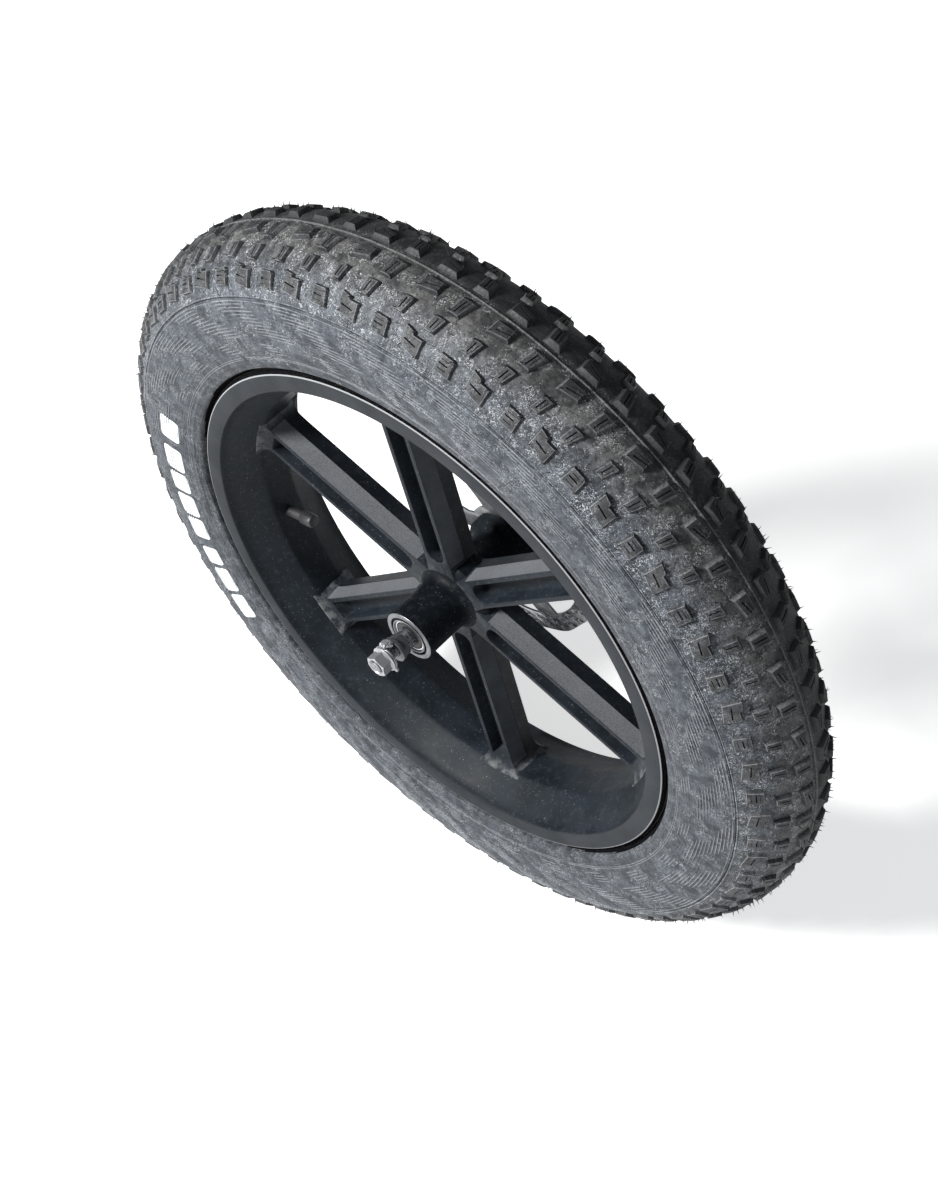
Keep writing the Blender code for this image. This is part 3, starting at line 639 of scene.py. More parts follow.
# the casing's half section on its way inwards, as (radius, half width)
BEAD_LIP = [
    (213.9, 41.75), (213.1, 41.3), (212.4, 40.5), (211.95, 39.3), (211.7, 38.0), (211.3, 36.8),
    (210.6, 36.2),
]
BEAD = [
    (210.2, 35.3), (209.6, 35.0), (205.1, 35.0), (204.6, 34.4), (204.6, 30.0), (205.0, 29.3),
    (205.4, 29.3), (205.4, 33.6), (207.9, 33.6), (207.9, 29.3), (212.2, 29.3),
]
INSIDE = [
    (214.5, 32.8), (218, 37.0), (224, 39.6), (231, 41.5), (238, 42.4), (247, 42.2),
    (255.5, 41.0), (263, 37.6), (270.2, 32.5), (278.0, 24.5), (283.6, 15), (285.4, 7),
]
INSIDE_CROWN = 285.8

# the start and end theta of each printed bar
BARS = [
    (159.5, 165.5), (168, 174), (174.9, 179.6), (180.6, 185.8), (186.6, 191.5), (193.9, 198),
    (199, 204.5), (205.5, 211),
]
BAR_ARC = 83
BAR_DEGREE = 4.2  # mm in one degree at the bars


def casing_outline():
    rows = [(arc, foot(arc) + CASING_TOP) for arc in (2, 8, 15, 22, 30, 38, 45, 50, 54)]
    rows += [(TREAD_EDGE + 0.1, -1.5), (TREAD_EDGE + 0.35, -0.35), (TREAD_EDGE + 0.7, 0.0)]
    rows += [(arc, 0.0) for arc in np.arange(58.5, 103.0, 2.2)]
    # a bead line, then the last plain stretch
    rows += [(103.1, 0.0), (103.6, 0.34), (104.3, 0.42), (105.0, 0.34), (105.5, 0.02), (107.3, 0)]
    half = [section(*row) for row in rows] + BEAD_LIP + BEAD + INSIDE
    crown = section(0.001, foot(0) + CASING_TOP)[0]
    near = [(radius, -y) for radius, y in half]
    return [(crown, 0.0)] + near + [(INSIDE_CROWN, 0.0)] + half[::-1]


def ridge(shell, start, end, arc, width, height, sign):
    """A raised ridge from one theta to another that fades at both ends."""
    count = max(4, int((end - start) / 1.3) + 1)
    theta = np.linspace(start, end, count)
    fade = np.ones(count)
    fade[[0, -1]] = 0.0
    # four points over the top and one underneath
    across = width * np.array([-0.5, -0.22, 0.22, 0.5, 0.0])
    lift = np.array([0, 1, 1, 0, 0]) * fade[:, None]
    base = np.array([-0.25, -0.25, -0.25, -0.25, -0.6])
    points = over(theta[:, None], sign * (arc + across), base + (0.25 + height) * lift)
    quads, ends = grid(count, 5), caps(count, 5)
    if sign > 0:
        quads, ends = quads[:, [0, 3, 2, 1]], ends[:, ::-1]
    else:
        quads = quads[:, [1, 2, 3, 0]]
    shell.add(points.reshape(-1, 3), [quads, ends], worn=(0.7 * lift).ravel())


def moulded_ridges(shell):
    """Ridges in slanted bands, and plain raised rings below the shoulder and by the bead."""
    bands = 27
    for sign in (1, -1):
        for k in range(bands):
            theta = 37 + 360 / bands * k
            for j in range(12):
                arc = 57.6 + 2.3 * j
                middle = theta - (arc - 56) * 0.46
                wide = 7.4 + 1.4 * math.sin(0.9 * j + k)
                ridge(shell, middle - wide / 2, middle + wide / 2, arc, 1.2, 0.46, sign)
            for j in range(4):
                arc = 88.5 + 2.3 * j
                middle = theta - 6.2 - (arc - 86) * 0.3
                ridge(shell, middle - 2.6, middle + 2.6, arc, 1.15, 0.4, sign)
        for arc, height in ((58.0, 0.3), (99.6, 0.26), (101.0, 0.26)):
            for k in range(6):
                ridge(shell, 60 * k - 0.1, 60 * k + 60.1, arc, 0.9, height, sign)


def printed_bar(shell, start, end):
    """A rounded white bar, a little proud of the rubber."""
    rows, columns = 15, 9
    half_length, half_width, corner = (end - start) / 2 * BAR_DEGREE, 8.6, 3.0
    along, across = np.linspace(-1, 1, rows), np.linspace(-1, 1, columns)
    x, y = np.meshgrid(along * half_length, across * half_width, indexing="ij")
    # push the square grid into a rounded rectangle
    past_x, past_y = np.abs(x) - (half_length - corner), np.abs(y) - (half_width - corner)
    in_corner = (past_x > 0) & (past_y > 0)
    keep = np.minimum(1, corner / np.maximum(np.hypot(past_x, past_y), 1e-9))
    x = np.where(in_corner, np.sign(x) * (half_length - corner + past_x * keep), x)
    y = np.where(in_corner, np.sign(y) * (half_width - corner + past_y * keep), y)
    middle = (start + end) / 2
    top = over(middle + x / BAR_DEGREE, BAR_ARC + y, 0.34)
    low_x, low_y = x * (1 + 0.25 / half_length), y * (1 + 0.25 / half_width)
    low = over(middle + low_x / BAR_DEGREE, BAR_ARC + low_y, -0.3)
    count = rows * columns
    face = grid(rows, columns, wrap=False)
    faces = np.stack([face, count + face[:, [0, 3, 2, 1]]], axis=1).reshape(-1, 4)
    index = np.arange(count).reshape(rows, columns)
    loop = np.concatenate([index[:, 0], index[-1, 1:], index[-2::-1, -1], index[0, -2:0:-1]])
    after = np.roll(loop, -1)
    walls = np.stack([loop, after, count + after, count + loop], axis=1)
    points = np.concatenate([top.reshape(-1, 3), low.reshape(-1, 3)])
    shell.add(points, [np.concatenate([faces, walls])], 1)


def hair(shell, theta, arc, length, base=0.0, thick=0.28):
    """One thin bent rubber hair standing on the tire."""
    rows, sides = 5, 5
    bend = rng.uniform(-0.9, 0.9, 2)
    share = np.linspace(0, 1, rows)
    path = over(
        theta + bend[0] * share**2 * length / 5,
        arc + bend[1] * share**2 * length * 0.6,
        base - 0.4 + share * length * 0.8,
    )
    along = np.gradient(path, axis=0)
    along /= np.linalg.norm(along, axis=1)[:, None]
    side = np.cross(along, np.array([0.31, 0.83, 0.47]))
    side /= np.linalg.norm(side, axis=1)[:, None]
    up = np.cross(along, side)
    turn = circle(sides)[None, :, None]
    size = thick * np.linspace(1, 0.55, rows)[:, None, None]
    ring = np.cos(turn) * side[:, None] + np.sin(turn) * up[:, None]
    points = (path[:, None] + size * ring).reshape(-1, 3)
    shell.add(points, [grid(rows, sides), caps(rows, sides)])


def build_casing():
    steps = 360
    shell = Shell()
    outline = wound(casing_outline())
    points, quads = lathe(outline, steps)
    # painted shade in the slit reaches less far up the bead towards the bottom
    lean = 0.5 + 1.5 * np.sin(np.radians(np.arange(steps) + 40.0))
    reach = 211.7 + 1.55 * np.clip(lean, 0, 1)
    low, high = spans(np.abs(outline))
    # these faces by the rim take the near-black painted shade
    hidden = ((high[:, 0] < reach[:, None]) & (low[:, 1] > 34.9)).ravel()
    shell.add(points, [quads[~hidden], quads[hidden]], [0, 2])
    moulded_ridges(shell)
    for start, end in BARS:
        printed_bar(shell, start, end)
    # vent hairs left by the mould
    for k in range(22):
        for sign in (1, -1):
            theta = 14.2 + 16.2 * k + rng.uniform(-2, 2)
            arc = rng.choice([78, 84, 94, 99])
            hair(shell, theta, sign * arc, rng.uniform(3.5, 7.0))
    obj = outward(shell.make("tire_casing_moulding", [RUBBER_SIDE, WHITE, SLIT_SHADE], 40))
    stand(obj, "wheel", "casing_rubber", "tire_casing")


# ---------------------------------------------------------------- knobs
KNOB_DEGREE = 5.164  # mm in one degree at the knobs
KNOB_TOP = 1.8  # height
KNOB_PITCH = 10  # degrees
# each: the top's and the foot's outlines as (theta, arc), and cuts as (from, to, width, depth)
KNOBS = [
    (
        [(51.15, 5.15), (53.4, 5.4), (53.5, 13.8), (51.1, 11.6)],
        [(50.75, 3.25), (53.75, 3.4), (53.9, 15.0), (50.8, 12.6)],
        [((50.6, 7.55), (52.9, 10.45), 0.85, 2.1), ((50.6, 5.9), (52.6, 7.75), 0.45, 1.3)],
    ),
    (
        [(56.75, 5.95), (58.15, 5.95), (58.5, 17.0), (57.2, 17.0)],
        [(56.15, 3.5), (58.6, 3.5), (58.9, 17.8), (57.0, 17.8)],
        [((57.52, 6.9), (57.88, 15.9), 0.85, 2.0), ((57.1, 7.3), (57.42, 14.2), 0.4, 1.0)],
    ),
    (
        [(52.75, 21.4), (54.05, 21.4), (54.4, 31), (53.35, 31)],
        [(52.45, 20.4), (54.3, 20.4), (54.65, 31.6), (53.15, 31.6)],
        [((53.55, 22.6), (53.85, 29.4), 0.85, 1.9), ((53.12, 23.0), (53.38, 28.4), 0.4, 1.0)],
    ),
    (
        [(57.95, 22.6), (59.4, 22.6), (59.7, 32.2), (58.6, 32.2)],
        [(57.65, 21.6), (59.65, 21.6), (59.95, 32.8), (58.4, 32.8)],
        [((58.8, 23.6), (59.1, 30.4), 0.85, 1.9), ((58.36, 24.2), (58.62, 29.6), 0.4, 1.0)],
    ),
    (
        [(54.55, 38.0), (56.3, 37.8), (56.45, 48.0), (54.2, 48.4), (54.3, 39.2)],
        [(54.45, 37.2), (56.45, 36.9), (56.7, 48.8), (53.95, 49.2), (54.05, 38.7)],
        [
            ((54.75, 42.6), (56.1, 42.5), 0.85, 1.6),
            ((54.8, 40.2), (56.0, 40.1), 0.4, 0.9),
            ((54.8, 45.6), (56.0, 45.5), 0.4, 0.9),
        ],
    ),
    (
        [(59.1, 38.7), (60.5, 38.5), (60.6, 36.5), (61.8, 35.0), (61.85, 46.7), (59.15, 49.4)],
        [(58.85, 37.9), (60.3, 37.7), (60.4, 35.8), (62.0, 34.2), (62.1, 47.4), (58.9, 50.2)],
        [((59.6, 43.5), (61.45, 41.9), 0.85, 1.8)],
    ),
]


def wall(shape, lower, upper):
    """Joins two loops of bmesh points with side faces."""
    for i in range(len(lower)):
        j = (i + 1) % len(lower)
        shape.faces.new((lower[i], lower[j], upper[j], upper[i]))


def object_from(shape, name):
    mesh = bpy.data.meshes.new(name)
    shape.to_mesh(mesh)
    shape.free()
    return add_object(name, mesh)


def knob_body(top, base):
    """The uncut knob from outlines of (x, y), with a bevelled top."""
    shape = bmesh.new()
    upper = [shape.verts.new((x, y, KNOB_TOP)) for x, y in top]
    lower = [shape.verts.new((x, y, foot(y))) for x, y in base]
    deep = [shape.verts.new((x, y, foot(y) - 1.3)) for x, y in base]
    shape.faces.new(upper)
    shape.faces.new(deep[::-1])
    wall(shape, lower, upper)
    wall(shape, deep, lower)
    shape.normal_update()
    chosen = [edge for edge in shape.edges if any(vert in upper for vert in edge.verts)]
    bmesh.ops.bevel(
        shape, geom=chosen, offset=0.5, offset_type="OFFSET", segments=2, profile=0.6,
        affect="EDGES", clamp_overlap=True,
    )
    return object_from(shape, "knob")


def knob_cutter(cuts):
    """Blocks that widen upwards, one for each cut."""
    shape = bmesh.new()
    for (x0, y0), (x1, y1), width, depth in cuts:
        along = Vector((x1 - x0, y1 - y0)).normalized()
        side = Vector((-along.y, along.x)) * width / 2
        rings = []
        for z, grow in ((KNOB_TOP - depth, 0.75), (KNOB_TOP + 0.6, 1.15)):
            ring = []
            for x, y, out in ((x0, y0, grow), (x0, y0, -grow), (x1, y1, -grow), (x1, y1, grow)):
                ring.append(shape.verts.new((x + side.x * out, y + side.y * out, z)))
            rings.append(ring)
        low, high = rings
        shape.faces.new(low[::-1])
        shape.faces.new(high)
        wall(shape, low, high)
    bmesh.ops.recalc_face_normals(shape, faces=shape.faces)
    return object_from(shape, "cut")


def knob_mesh(top, base, cuts):
    """(middle theta, points, triangles, worn) of one knob in flat space.

    x runs round the wheel from the knob's own middle, y over the tire, and z is the height.
    """
    middle = float(np.mean([theta for theta, _ in top]))

    def flat(spot):
        return (spot[0] - middle) * KNOB_DEGREE, spot[1]

    top, base = [flat(spot) for spot in top], [flat(spot) for spot in base]
    pairs = zip(top, top[1:] + top[:1])
    if sum(here[0] * after[1] - after[0] * here[1] for here, after in pairs) < 0:
        top, base = top[::-1], base[::-1]
    body = knob_body(top, base)
    cutter = knob_cutter([(flat(start), flat(end), *size) for start, end, *size in cuts])
    step = body.modifiers.new("cut", "BOOLEAN")
    step.operation, step.object, step.solver = "DIFFERENCE", cutter, "EXACT"
    bpy.context.view_layer.update()
    evaluated = body.evaluated_get(bpy.context.evaluated_depsgraph_get())
    shape = bmesh.new()
    shape.from_mesh(bpy.data.meshes.new_from_object(evaluated))
    bmesh.ops.remove_doubles(shape, verts=shape.verts, dist=0.005)
    bmesh.ops.triangulate(shape, faces=shape.faces)
    bmesh.ops.recalc_face_normals(shape, faces=shape.faces)
    points = np.array([vert.co for vert in shape.verts])
    faces = np.array([[vert.index for vert in face.verts] for face in shape.faces])
    shape.free()
    for obj in (body, cutter):
        bpy.data.objects.remove(obj, do_unlink=True)
    # the bevel round the top shows wear
    worn = (points[:, 2] > KNOB_TOP - 0.42) & (points[:, 2] < KNOB_TOP - 0.02)
    return middle, points, faces, worn.astype(float)


def spike(shell, theta, arc, length):
    """A short torn point of rubber at a knob's corner: thin, three-sided, leaning a little."""
    lean = rng.uniform(-0.35, 0.35, 2) * length
    angle = np.radians(rng.uniform(0, 120) + np.array([0, 120, 240]))
    ring = 0.5 * np.stack([np.cos(angle), np.sin(angle)], axis=1)
    flat = np.concatenate([ring, 0.35 * ring + 0.5 * lean, [lean]])
    height = KNOB_TOP + np.array([-0.5] * 3 + [0.55 * length] * 3 + [length])
    points = over(theta + flat[:, 0] / KNOB_DEGREE, arc + flat[:, 1], height)
    quads = [(0, 1, 4, 3), (1, 2, 5, 4), (2, 0, 3, 5)]
    shell.add(points, [quads, [(2, 1, 0), (3, 4, 6), (4, 5, 6), (5, 3, 6)]], 1)


def tread_band(shell):
    """The band between the knobs, closed underneath, with a thin fin round its middle."""
    steps, fin = 432, 0.24
    outer = [(fin, -0.1)]
    outer += [(arc, foot(arc)) for arc in [0.6, 1.5, *np.arange(3.5, 54.0, 2.1), 54.3]]
    outer += [(54.7, 0.42), (55.2, 0.36), (TREAD_EDGE - 0.05, -0.1), (TREAD_EDGE - 0.1, -0.9)]
    under = [(arc, foot(arc) - TREAD_SKIN) for arc in (53, 45, 36, 27, 18, 9, 0.5)]
    half = np.array(outer + under)
    arc, height = np.concatenate([half, half[::-1] * (-1, 1)]).T
    width, out = len(arc), np.abs(arc)
    wobble = rng.normal(0, 0.07, (steps, width)) * (out < 54) * (height > -2.4)
    theta = 360 * np.arange(steps) / steps
    points = over(theta[:, None], arc[None, :], height + wobble).reshape(-1, 3)
    worn = 0.9 * ((out < 0.25) & (height > -1)) + 0.35 * ((out > 54.4) & (height > 0.3))
    shell.add(points, [grid(steps, width, ring=True)], worn=np.tile(worn, steps))


def build_tread():
    shell = Shell()
    repeats = 360 // KNOB_PITCH
    tread_band(shell)
    for knob in KNOBS:
        middle, local, faces, worn = knob_mesh(*knob)
        for k in range(repeats):
            for sign in (1, -1):
                lift = rng.uniform(-0.08, 0.08)
                theta = middle + KNOB_PITCH * k + local[:, 0] / KNOB_DEGREE
                points = over(theta, sign * local[:, 1], local[:, 2] + lift)
                shell.add(points, [faces if sign > 0 else faces[:, ::-1]], 1, worn)
    # hairs from the mould's vents, on and between the knobs
    for _ in range(150):
        theta = rng.uniform(0, 360)
        arc = rng.choice([4.4, 8.5, 12.8, 19.2, 26.8, 34.5, 43.0, 50.8]) * rng.choice([-1, 1])
        hair(shell, theta, arc, rng.uniform(2.2, 5.5), foot(arc), 0.26)
    for top, _, _ in KNOBS:
        middle = np.mean(top, axis=0)
        for k in range(repeats):
            for sign in (1, -1):
                for corner in rng.choice(len(top), 3, replace=False):
                    if rng.uniform() < 0.75:
                        theta, arc = top[corner] + 0.1 * (middle - top[corner])
                        length = rng.uniform(1.6, 3.8)
                        spike(shell, theta + KNOB_PITCH * k, sign * arc, length)
    obj = outward(shell.make("tread_knobs", [RUBBER_TREAD, RUBBER_KNOB], 28))
    stand(obj, "wheel", "tread_rubber", "tread_band")


# ---------------------------------------------------------------- the cast wheel
SPOKE_ANGLES = [37.5 + 60 * i for i in range(6)]
# radii of a spoke's cross sections
SPOKE_STATIONS = [
    20, 23, 26, 29, 32, 34, 35.1, 35.5, 35.9, 36.5, 37.3, 38.3, 39.7, 41.5, 44, 48, 53,
    *np.arange(60, 160, 11.1),
    162, 165, 167.6, 169.4, 170.6, 171.4, 173.0, 174.6, 176, 177.2, 178.2, 179.0, 179.7, 180.3,
    181.0, 182.0,
]
RIM_ROOT = 181.2  # radius at which a spoke is fully flared
CHANNEL_START, CHANNEL_END = 35.5, 171.0  # radii of the hollow along each face
CHANNEL_HALF = 7.45
CHANNEL_ROUND = 8.5  # length of the hollow's round inner end

# the rim's outer half section: lip, bead seat and well, as (radius, half width)
RIM_OUTER = [
    (193.4, 37.6), (193.9, 39.4), (194.3, 40.1), (194.9, 40.4), (206.3, 40.4), (206.75, 40.34),
    (207.1, 40.16), (207.35, 39.85), (207.5, 39.4), (208.2, 38.6), (208.9, 38.1),
    (209.15, 37.6), (209.15, 37.2), (208.9, 36.8), (208.4, 36.5), (203.3, 36.4), (202.3, 28.9),
    (201.7, 28.2), (197.4, 25.2), (196.4, 24.6), (186.3, 19.8), (185.5, 18.9), (185.5, 9.0),
]
# the half section of the rim's side towards the axle
RIM_INNER = [
    (180.0, 5.0), (180.0, 11.4), (180.35, 12.6), (181.3, 14.6), (186.5, 24.2), (191.2, 32.4),
    (192.6, 35.2),
]
# the hub barrel with its bearing seats, brake flange and faced ends, as (radius, y)
HUB_OUTLINE = [
    (13.25, -43.2), (13.25, -51.9), (13.5, -52.3), (14.1, -52.4), (14.5, -52.2), (14.7, -51.6),
    (14.75, -50.8), (16.1, -50.8), (16.2, -51.8), (16.6, -52.35), (18.9, -52.4),
    (19.6, -52.15), (19.95, -51.7), (20.0, -51.0), (20.0, -20.0), (20.3, -16.6), (21.4, -13.6),
    (23.6, -11.4), (27.0, -9.6), (31.0, -7.6), (33.0, -5.0), (33.2, -2.0), (33.2, 9.5),
    (32.6, 12.0), (30.6, 14.6), (26.0, 18.6), (22.4, 22.2), (21.0, 26.0), (21.0, 36.4),
    (21.6, 39.6), (23.6, 42.2), (26.8, 43.9), (27.7, 44.6), (28.0, 45.4), (28.0, 51.8),
    (27.6, 52.2), (17.5, 52.2), (17.2, 52.5), (17.2, 54.6), (16.8, 55.0), (13.7, 55.0),
    (13.25, 54.6), (13.25, 45.3), (11.7, 45.1), (11.5, 44.9), (11.5, -42.8), (11.7, -43.0),
]


def fade(distance, length):
    return math.exp(-max(0.0, distance) / length)


def spoke_ring(radius):
    """(closed ring of (sideways, y), worn) of a spoke's cross section."""
    to_rim = RIM_ROOT - radius
    rim, hub = fade(to_rim, 3.0), fade(radius - 27, 5.5)
    near_half = 11.9 + 8.5 * rim + 1.6 * hub
    mid_half = 13.4 + 8.5 * rim + 1.4 * hub
    far_half = 12.3 + 8.0 * rim + 1.4 * hub
    near_y = -10.0 - 6.0 * fade(to_rim, 2.6) - 1.2 * fade(radius - 21, 4)
    far_y = 16.0 + 6.0 * fade(to_rim, 2.6) + 1.2 * fade(radius - 22, 5)
    mid_y = 4.0
    opened = CHANNEL_START < radius < CHANNEL_END
    channel = CHANNEL_HALF
    round_from = CHANNEL_START + CHANNEL_ROUND
    if radius < round_from:
        back = (round_from - max(radius, CHANNEL_START)) / CHANNEL_ROUND
        channel = max(0.35, channel * math.sqrt(max(0.0, 1 - back**2)))
    near_floor, far_floor = (0.5, 6.5) if opened else (near_y + 0.02, far_y - 0.02)
    if opened and radius > 167:  # the floors climb to the faces
        lift = ((radius - 167) / 4.6) ** 1.6
        near_floor, far_floor = 0.5 - (0.5 - near_y) * lift, 6.5 + (far_y - 6.5) * lift
    fillet = min(1.0, channel / 3)
    half = [
        (0.0, near_floor),
        (channel - 1.5 * fillet, near_floor),
        (channel - 0.45 * fillet, near_floor - 0.4 * opened * fillet),
        (channel, near_floor - 1.5 * opened * fillet),
        (channel + 0.25, near_y + 0.75 * opened),
        (channel + 0.5, near_y + 0.2 * opened),
        (channel + 0.95, near_y),
        (near_half - 1.15, near_y),
        (near_half - 0.35, near_y + 0.22),
        (near_half, near_y + 0.95),
        (mid_half - 0.22, mid_y - 0.45),
        (mid_half, mid_y - 0.15),
        (mid_half, mid_y + 0.15),
        (mid_half - 0.22, mid_y + 0.45),
        (far_half, far_y - 0.95),
        (far_half - 0.35, far_y - 0.22),
        (far_half - 1.15, far_y),
        (channel + 0.95, far_y),
        (channel + 0.5, far_y - 0.2 * opened),
        (channel + 0.25, far_y - 0.75 * opened),
        (channel, far_floor + 1.5 * opened * fillet),
        (channel - 0.45 * fillet, far_floor + 0.4 * opened * fillet),
        (channel - 1.5 * fillet, far_floor),
        (0.0, far_floor),
    ]
    ring = half + [(-sideways, y) for sideways, y in half[-2:0:-1]]
    return np.array(ring), min(1.0, 1.25 * rim) + 0.25 * hub


def add_rim(shell):
    steps = 288
    outline = [(radius, -y) for radius, y in RIM_OUTER] + RIM_OUTER[::-1]
    outline += RIM_INNER[::-1] + [(radius, -y) for radius, y in RIM_INNER]
    outline = wound(outline)
    points, quads = lathe(outline, steps)
    # the lip's flat side faces take the dusty finish, and the slit beside the bead takes
    # near-black painted shade
    low, high = spans(np.abs(outline))
    flat = np.tile((low[:, 0] > 193.8) & (high[:, 0] < 209.1) & (low[:, 1] > 38.7), steps)
    slit = np.tile(high[:, 0] > 207.45, steps)
    radius, y = outline.T
    # the lip's rounded outer edge takes a painted highlight, partly rubbed paint
    edge = ((radius > 206.5) & (radius < 207.4) & (np.abs(y) > 39.6)).astype(float)
    blocks = [quads[~flat & ~slit], quads[flat & ~slit], quads[slit]]
    shell.add(points, blocks, [0, 1, 3], np.tile(edge, steps))


def add_spokes(shell):
    rings = [spoke_ring(radius) for radius in SPOKE_STATIONS]
    count, width = len(rings), len(rings[0][0])
    worn = np.repeat([settled for _, settled in rings], width).reshape(count, width)
    # the near halves of the side walls, below nought, are lightened by painted light, and dust
    # lies on those that look up
    worn[8:-8, [9, 10, -9, -10]] = -1.0
    for angle in SPOKE_ANGLES:
        points = [
            polar(radius, ring[:, 1], math.radians(angle) + ring[:, 0] / radius)
            for radius, (ring, _) in zip(SPOKE_STATIONS, rings)
        ]
        blocks = [grid(count, width), caps(count, width)]
        shell.add(np.concatenate(points), blocks, worn=worn.ravel())


def add_hub(shell):
    steps = 120
    outline = wound(HUB_OUTLINE)
    points, quads = lathe(outline, steps)
    low, high = spans(outline)
    faced = (low[:, 1] > 52.0) | (high[:, 1] < -51.65) | (high[:, 0] < 14.2)
    faced = np.tile(faced, steps)
    # the hub's painted faces take the paint darkened as painted shade
    shell.add(points, [quads[~faced], quads[faced]], [4, 2])


def build_wheel():
    shell = Shell()
    add_rim(shell)
    add_spokes(shell)
    add_hub(shell)
    obj = outward(shell.make("cast_wheel_body", [PAINT, LIP, FACED, SLIT_SHADE, HUB_SHADED_PAINT], 33))
    obj.data.set_sharp_from_angle(angle=math.radians(33))
    stand(obj, "wheel", "wheel_paint", "cast_wheel")


# ---------------------------------------------------------------- hub and axle hardware
AXLE_RADIUS = 4.9
BORE = 5.25  # radius of the holes that the axle passes through
NUT_FLAT = 7.5  # from a nut's middle to a flat
BEARING_HALF = 4.0  # half width
WASHER_RADIUS = 9.8
TAB_ANGLE = 97.5  # theta
LUG_ANGLE = 316  # theta


def hex_nut(bore, low, high, both=True, sink=0.5):
    """A hexagon with chamfered corners, at both ends or only at high, and a round bore."""
    count = 72
    turn = circle(count)
    from_flat = (turn + np.pi / 6) % (np.pi / 3) - np.pi / 6
    hexagon = NUT_FLAT / np.cos(from_flat)
    crown = NUT_FLAT * 1.01
    # how far the chamfer cone comes down in each direction
    fall = np.maximum((hexagon - crown) * 0.5, 0)
    end = np.minimum(hexagon, crown - 0.15)
    levels = [
        (bore, low + 0.5),
        (bore + 0.5, low),
        (end, low),
        (hexagon, low + (fall if both else 0.05)),
        (hexagon, high - fall),
        (end, high),
        (bore + sink, high),
        (bore, high - 1.3 * sink),
    ]
    points = np.concatenate([polar(radius, y, turn) for radius, y in levels])
    return points, grid(len(levels), count, ring=True)


def thread(shell, radius, depth, start, end, pitch):
    """A threaded length whose radius rises and falls along a helix, closed at both ends."""
    steps = 48
    rows = int(abs(end - start) / pitch * 6)
    y = np.linspace(start, end, rows + 1)
    turn = circle(steps)
    wave = (y[:, None] / pitch + turn / (2 * np.pi)) % 1.0
    tooth = np.abs(wave * 2 - 1)
    full = np.minimum(1, np.minimum(np.abs(y - start), np.abs(y - end)) / (0.8 * pitch))
    radii = radius - depth * (1 - tooth) - 0.5 * (1 - full)[:, None]
    points = polar(radii, y[:, None], turn).reshape(-1, 3)
    shell.add(points, [grid(rows + 1, steps), caps(rows + 1, steps)])


def build_axle():
    shell = Shell()
    points, quads = lathe([(0.01, -62), (AXLE_RADIUS, -62), (AXLE_RADIUS, 62), (0.01, 62)], 48)
    shell.add(points, [quads])
    # the bare end beyond each thread
    end = [
        (0.01, 84.0), (4.15, 84.0), (4.15, 85.7), (3.9, 86.0), (0.9, 86.0), (0.5, 85.5),
        (0.01, 85.4),
    ]
    for sign in (-1, 1):
        thread(shell, AXLE_RADIUS, depth=0.42, start=sign * 61.0, end=sign * 85.2, pitch=1.0)
        points, quads = lathe([(radius, sign * y) for radius, y in end], 48)
        shell.add(points, [quads], 1)
    obj = outward(shell.make("axle_threaded", [GREASY, AXLE_END], 35))
    stand(obj, "axle_set", "plated_steel", "axle")


def washer_outline():
    """(x, z) of a round plate with a tongue for the tab and a small lug."""
    outline = []
    for k in range(96):
        theta = 360 * k / 96
        radius = WASHER_RADIUS
        tongue = (theta - TAB_ANGLE + 180) % 360 - 180
        if abs(tongue) < 15:
            shoulder = 0.86 + 0.14 * math.cos(math.radians(tongue * 6))
            radius = 12.6 / math.cos(math.radians(tongue)) * shoulder
        lug = (theta - LUG_ANGLE + 180) % 360 - 180
        if abs(lug) < 13:
            radius = WASHER_RADIUS + 2.7 * min(1.0, 1.6 * (1 - abs(lug) / 13))
        angle = math.radians(theta)
        outline.append((radius * math.cos(angle), radius * math.sin(angle)))
    return np.array(outline)


def add_tab(shell, sign):
    """The washer's tab: a strip that bends inwards along the axle."""
    turn, bend, thick = math.radians(TAB_ANGLE), 1.4, 1.5
    out = np.array([math.cos(turn), 0, math.sin(turn)])
    across = np.array([-math.sin(turn), 0, math.cos(turn)])
    path = [(9.6, 74.8)]  # (radius, distance along the axle)
    for angle in np.linspace(0, 1, 7) * math.pi / 2:
        path.append((10.6 + bend * math.sin(angle), 74.8 - bend * (1 - math.cos(angle))))
    path = np.array(path + [(12.0, 71.6), (12.0, 70.3)])
    way = np.gradient(path, axis=0)
    way /= np.linalg.norm(way, axis=1)[:, None]
    normal = np.stack([-way[:, 1], way[:, 0]], axis=1)
    points = []
    for i in range(len(path)):
        half = 2.5 if i < len(path) - 1 else 1.9
        for lift, side in ((-1, -half), (-1, half), (1, half), (1, -half)):
            radius, y = path[i] + normal[i] * lift * thick / 2
            points.append(out * radius + across * side + np.array([0, sign * y, 0]))
    shell.add(np.array(points), [grid(len(path), 4), caps(len(path), 4)])


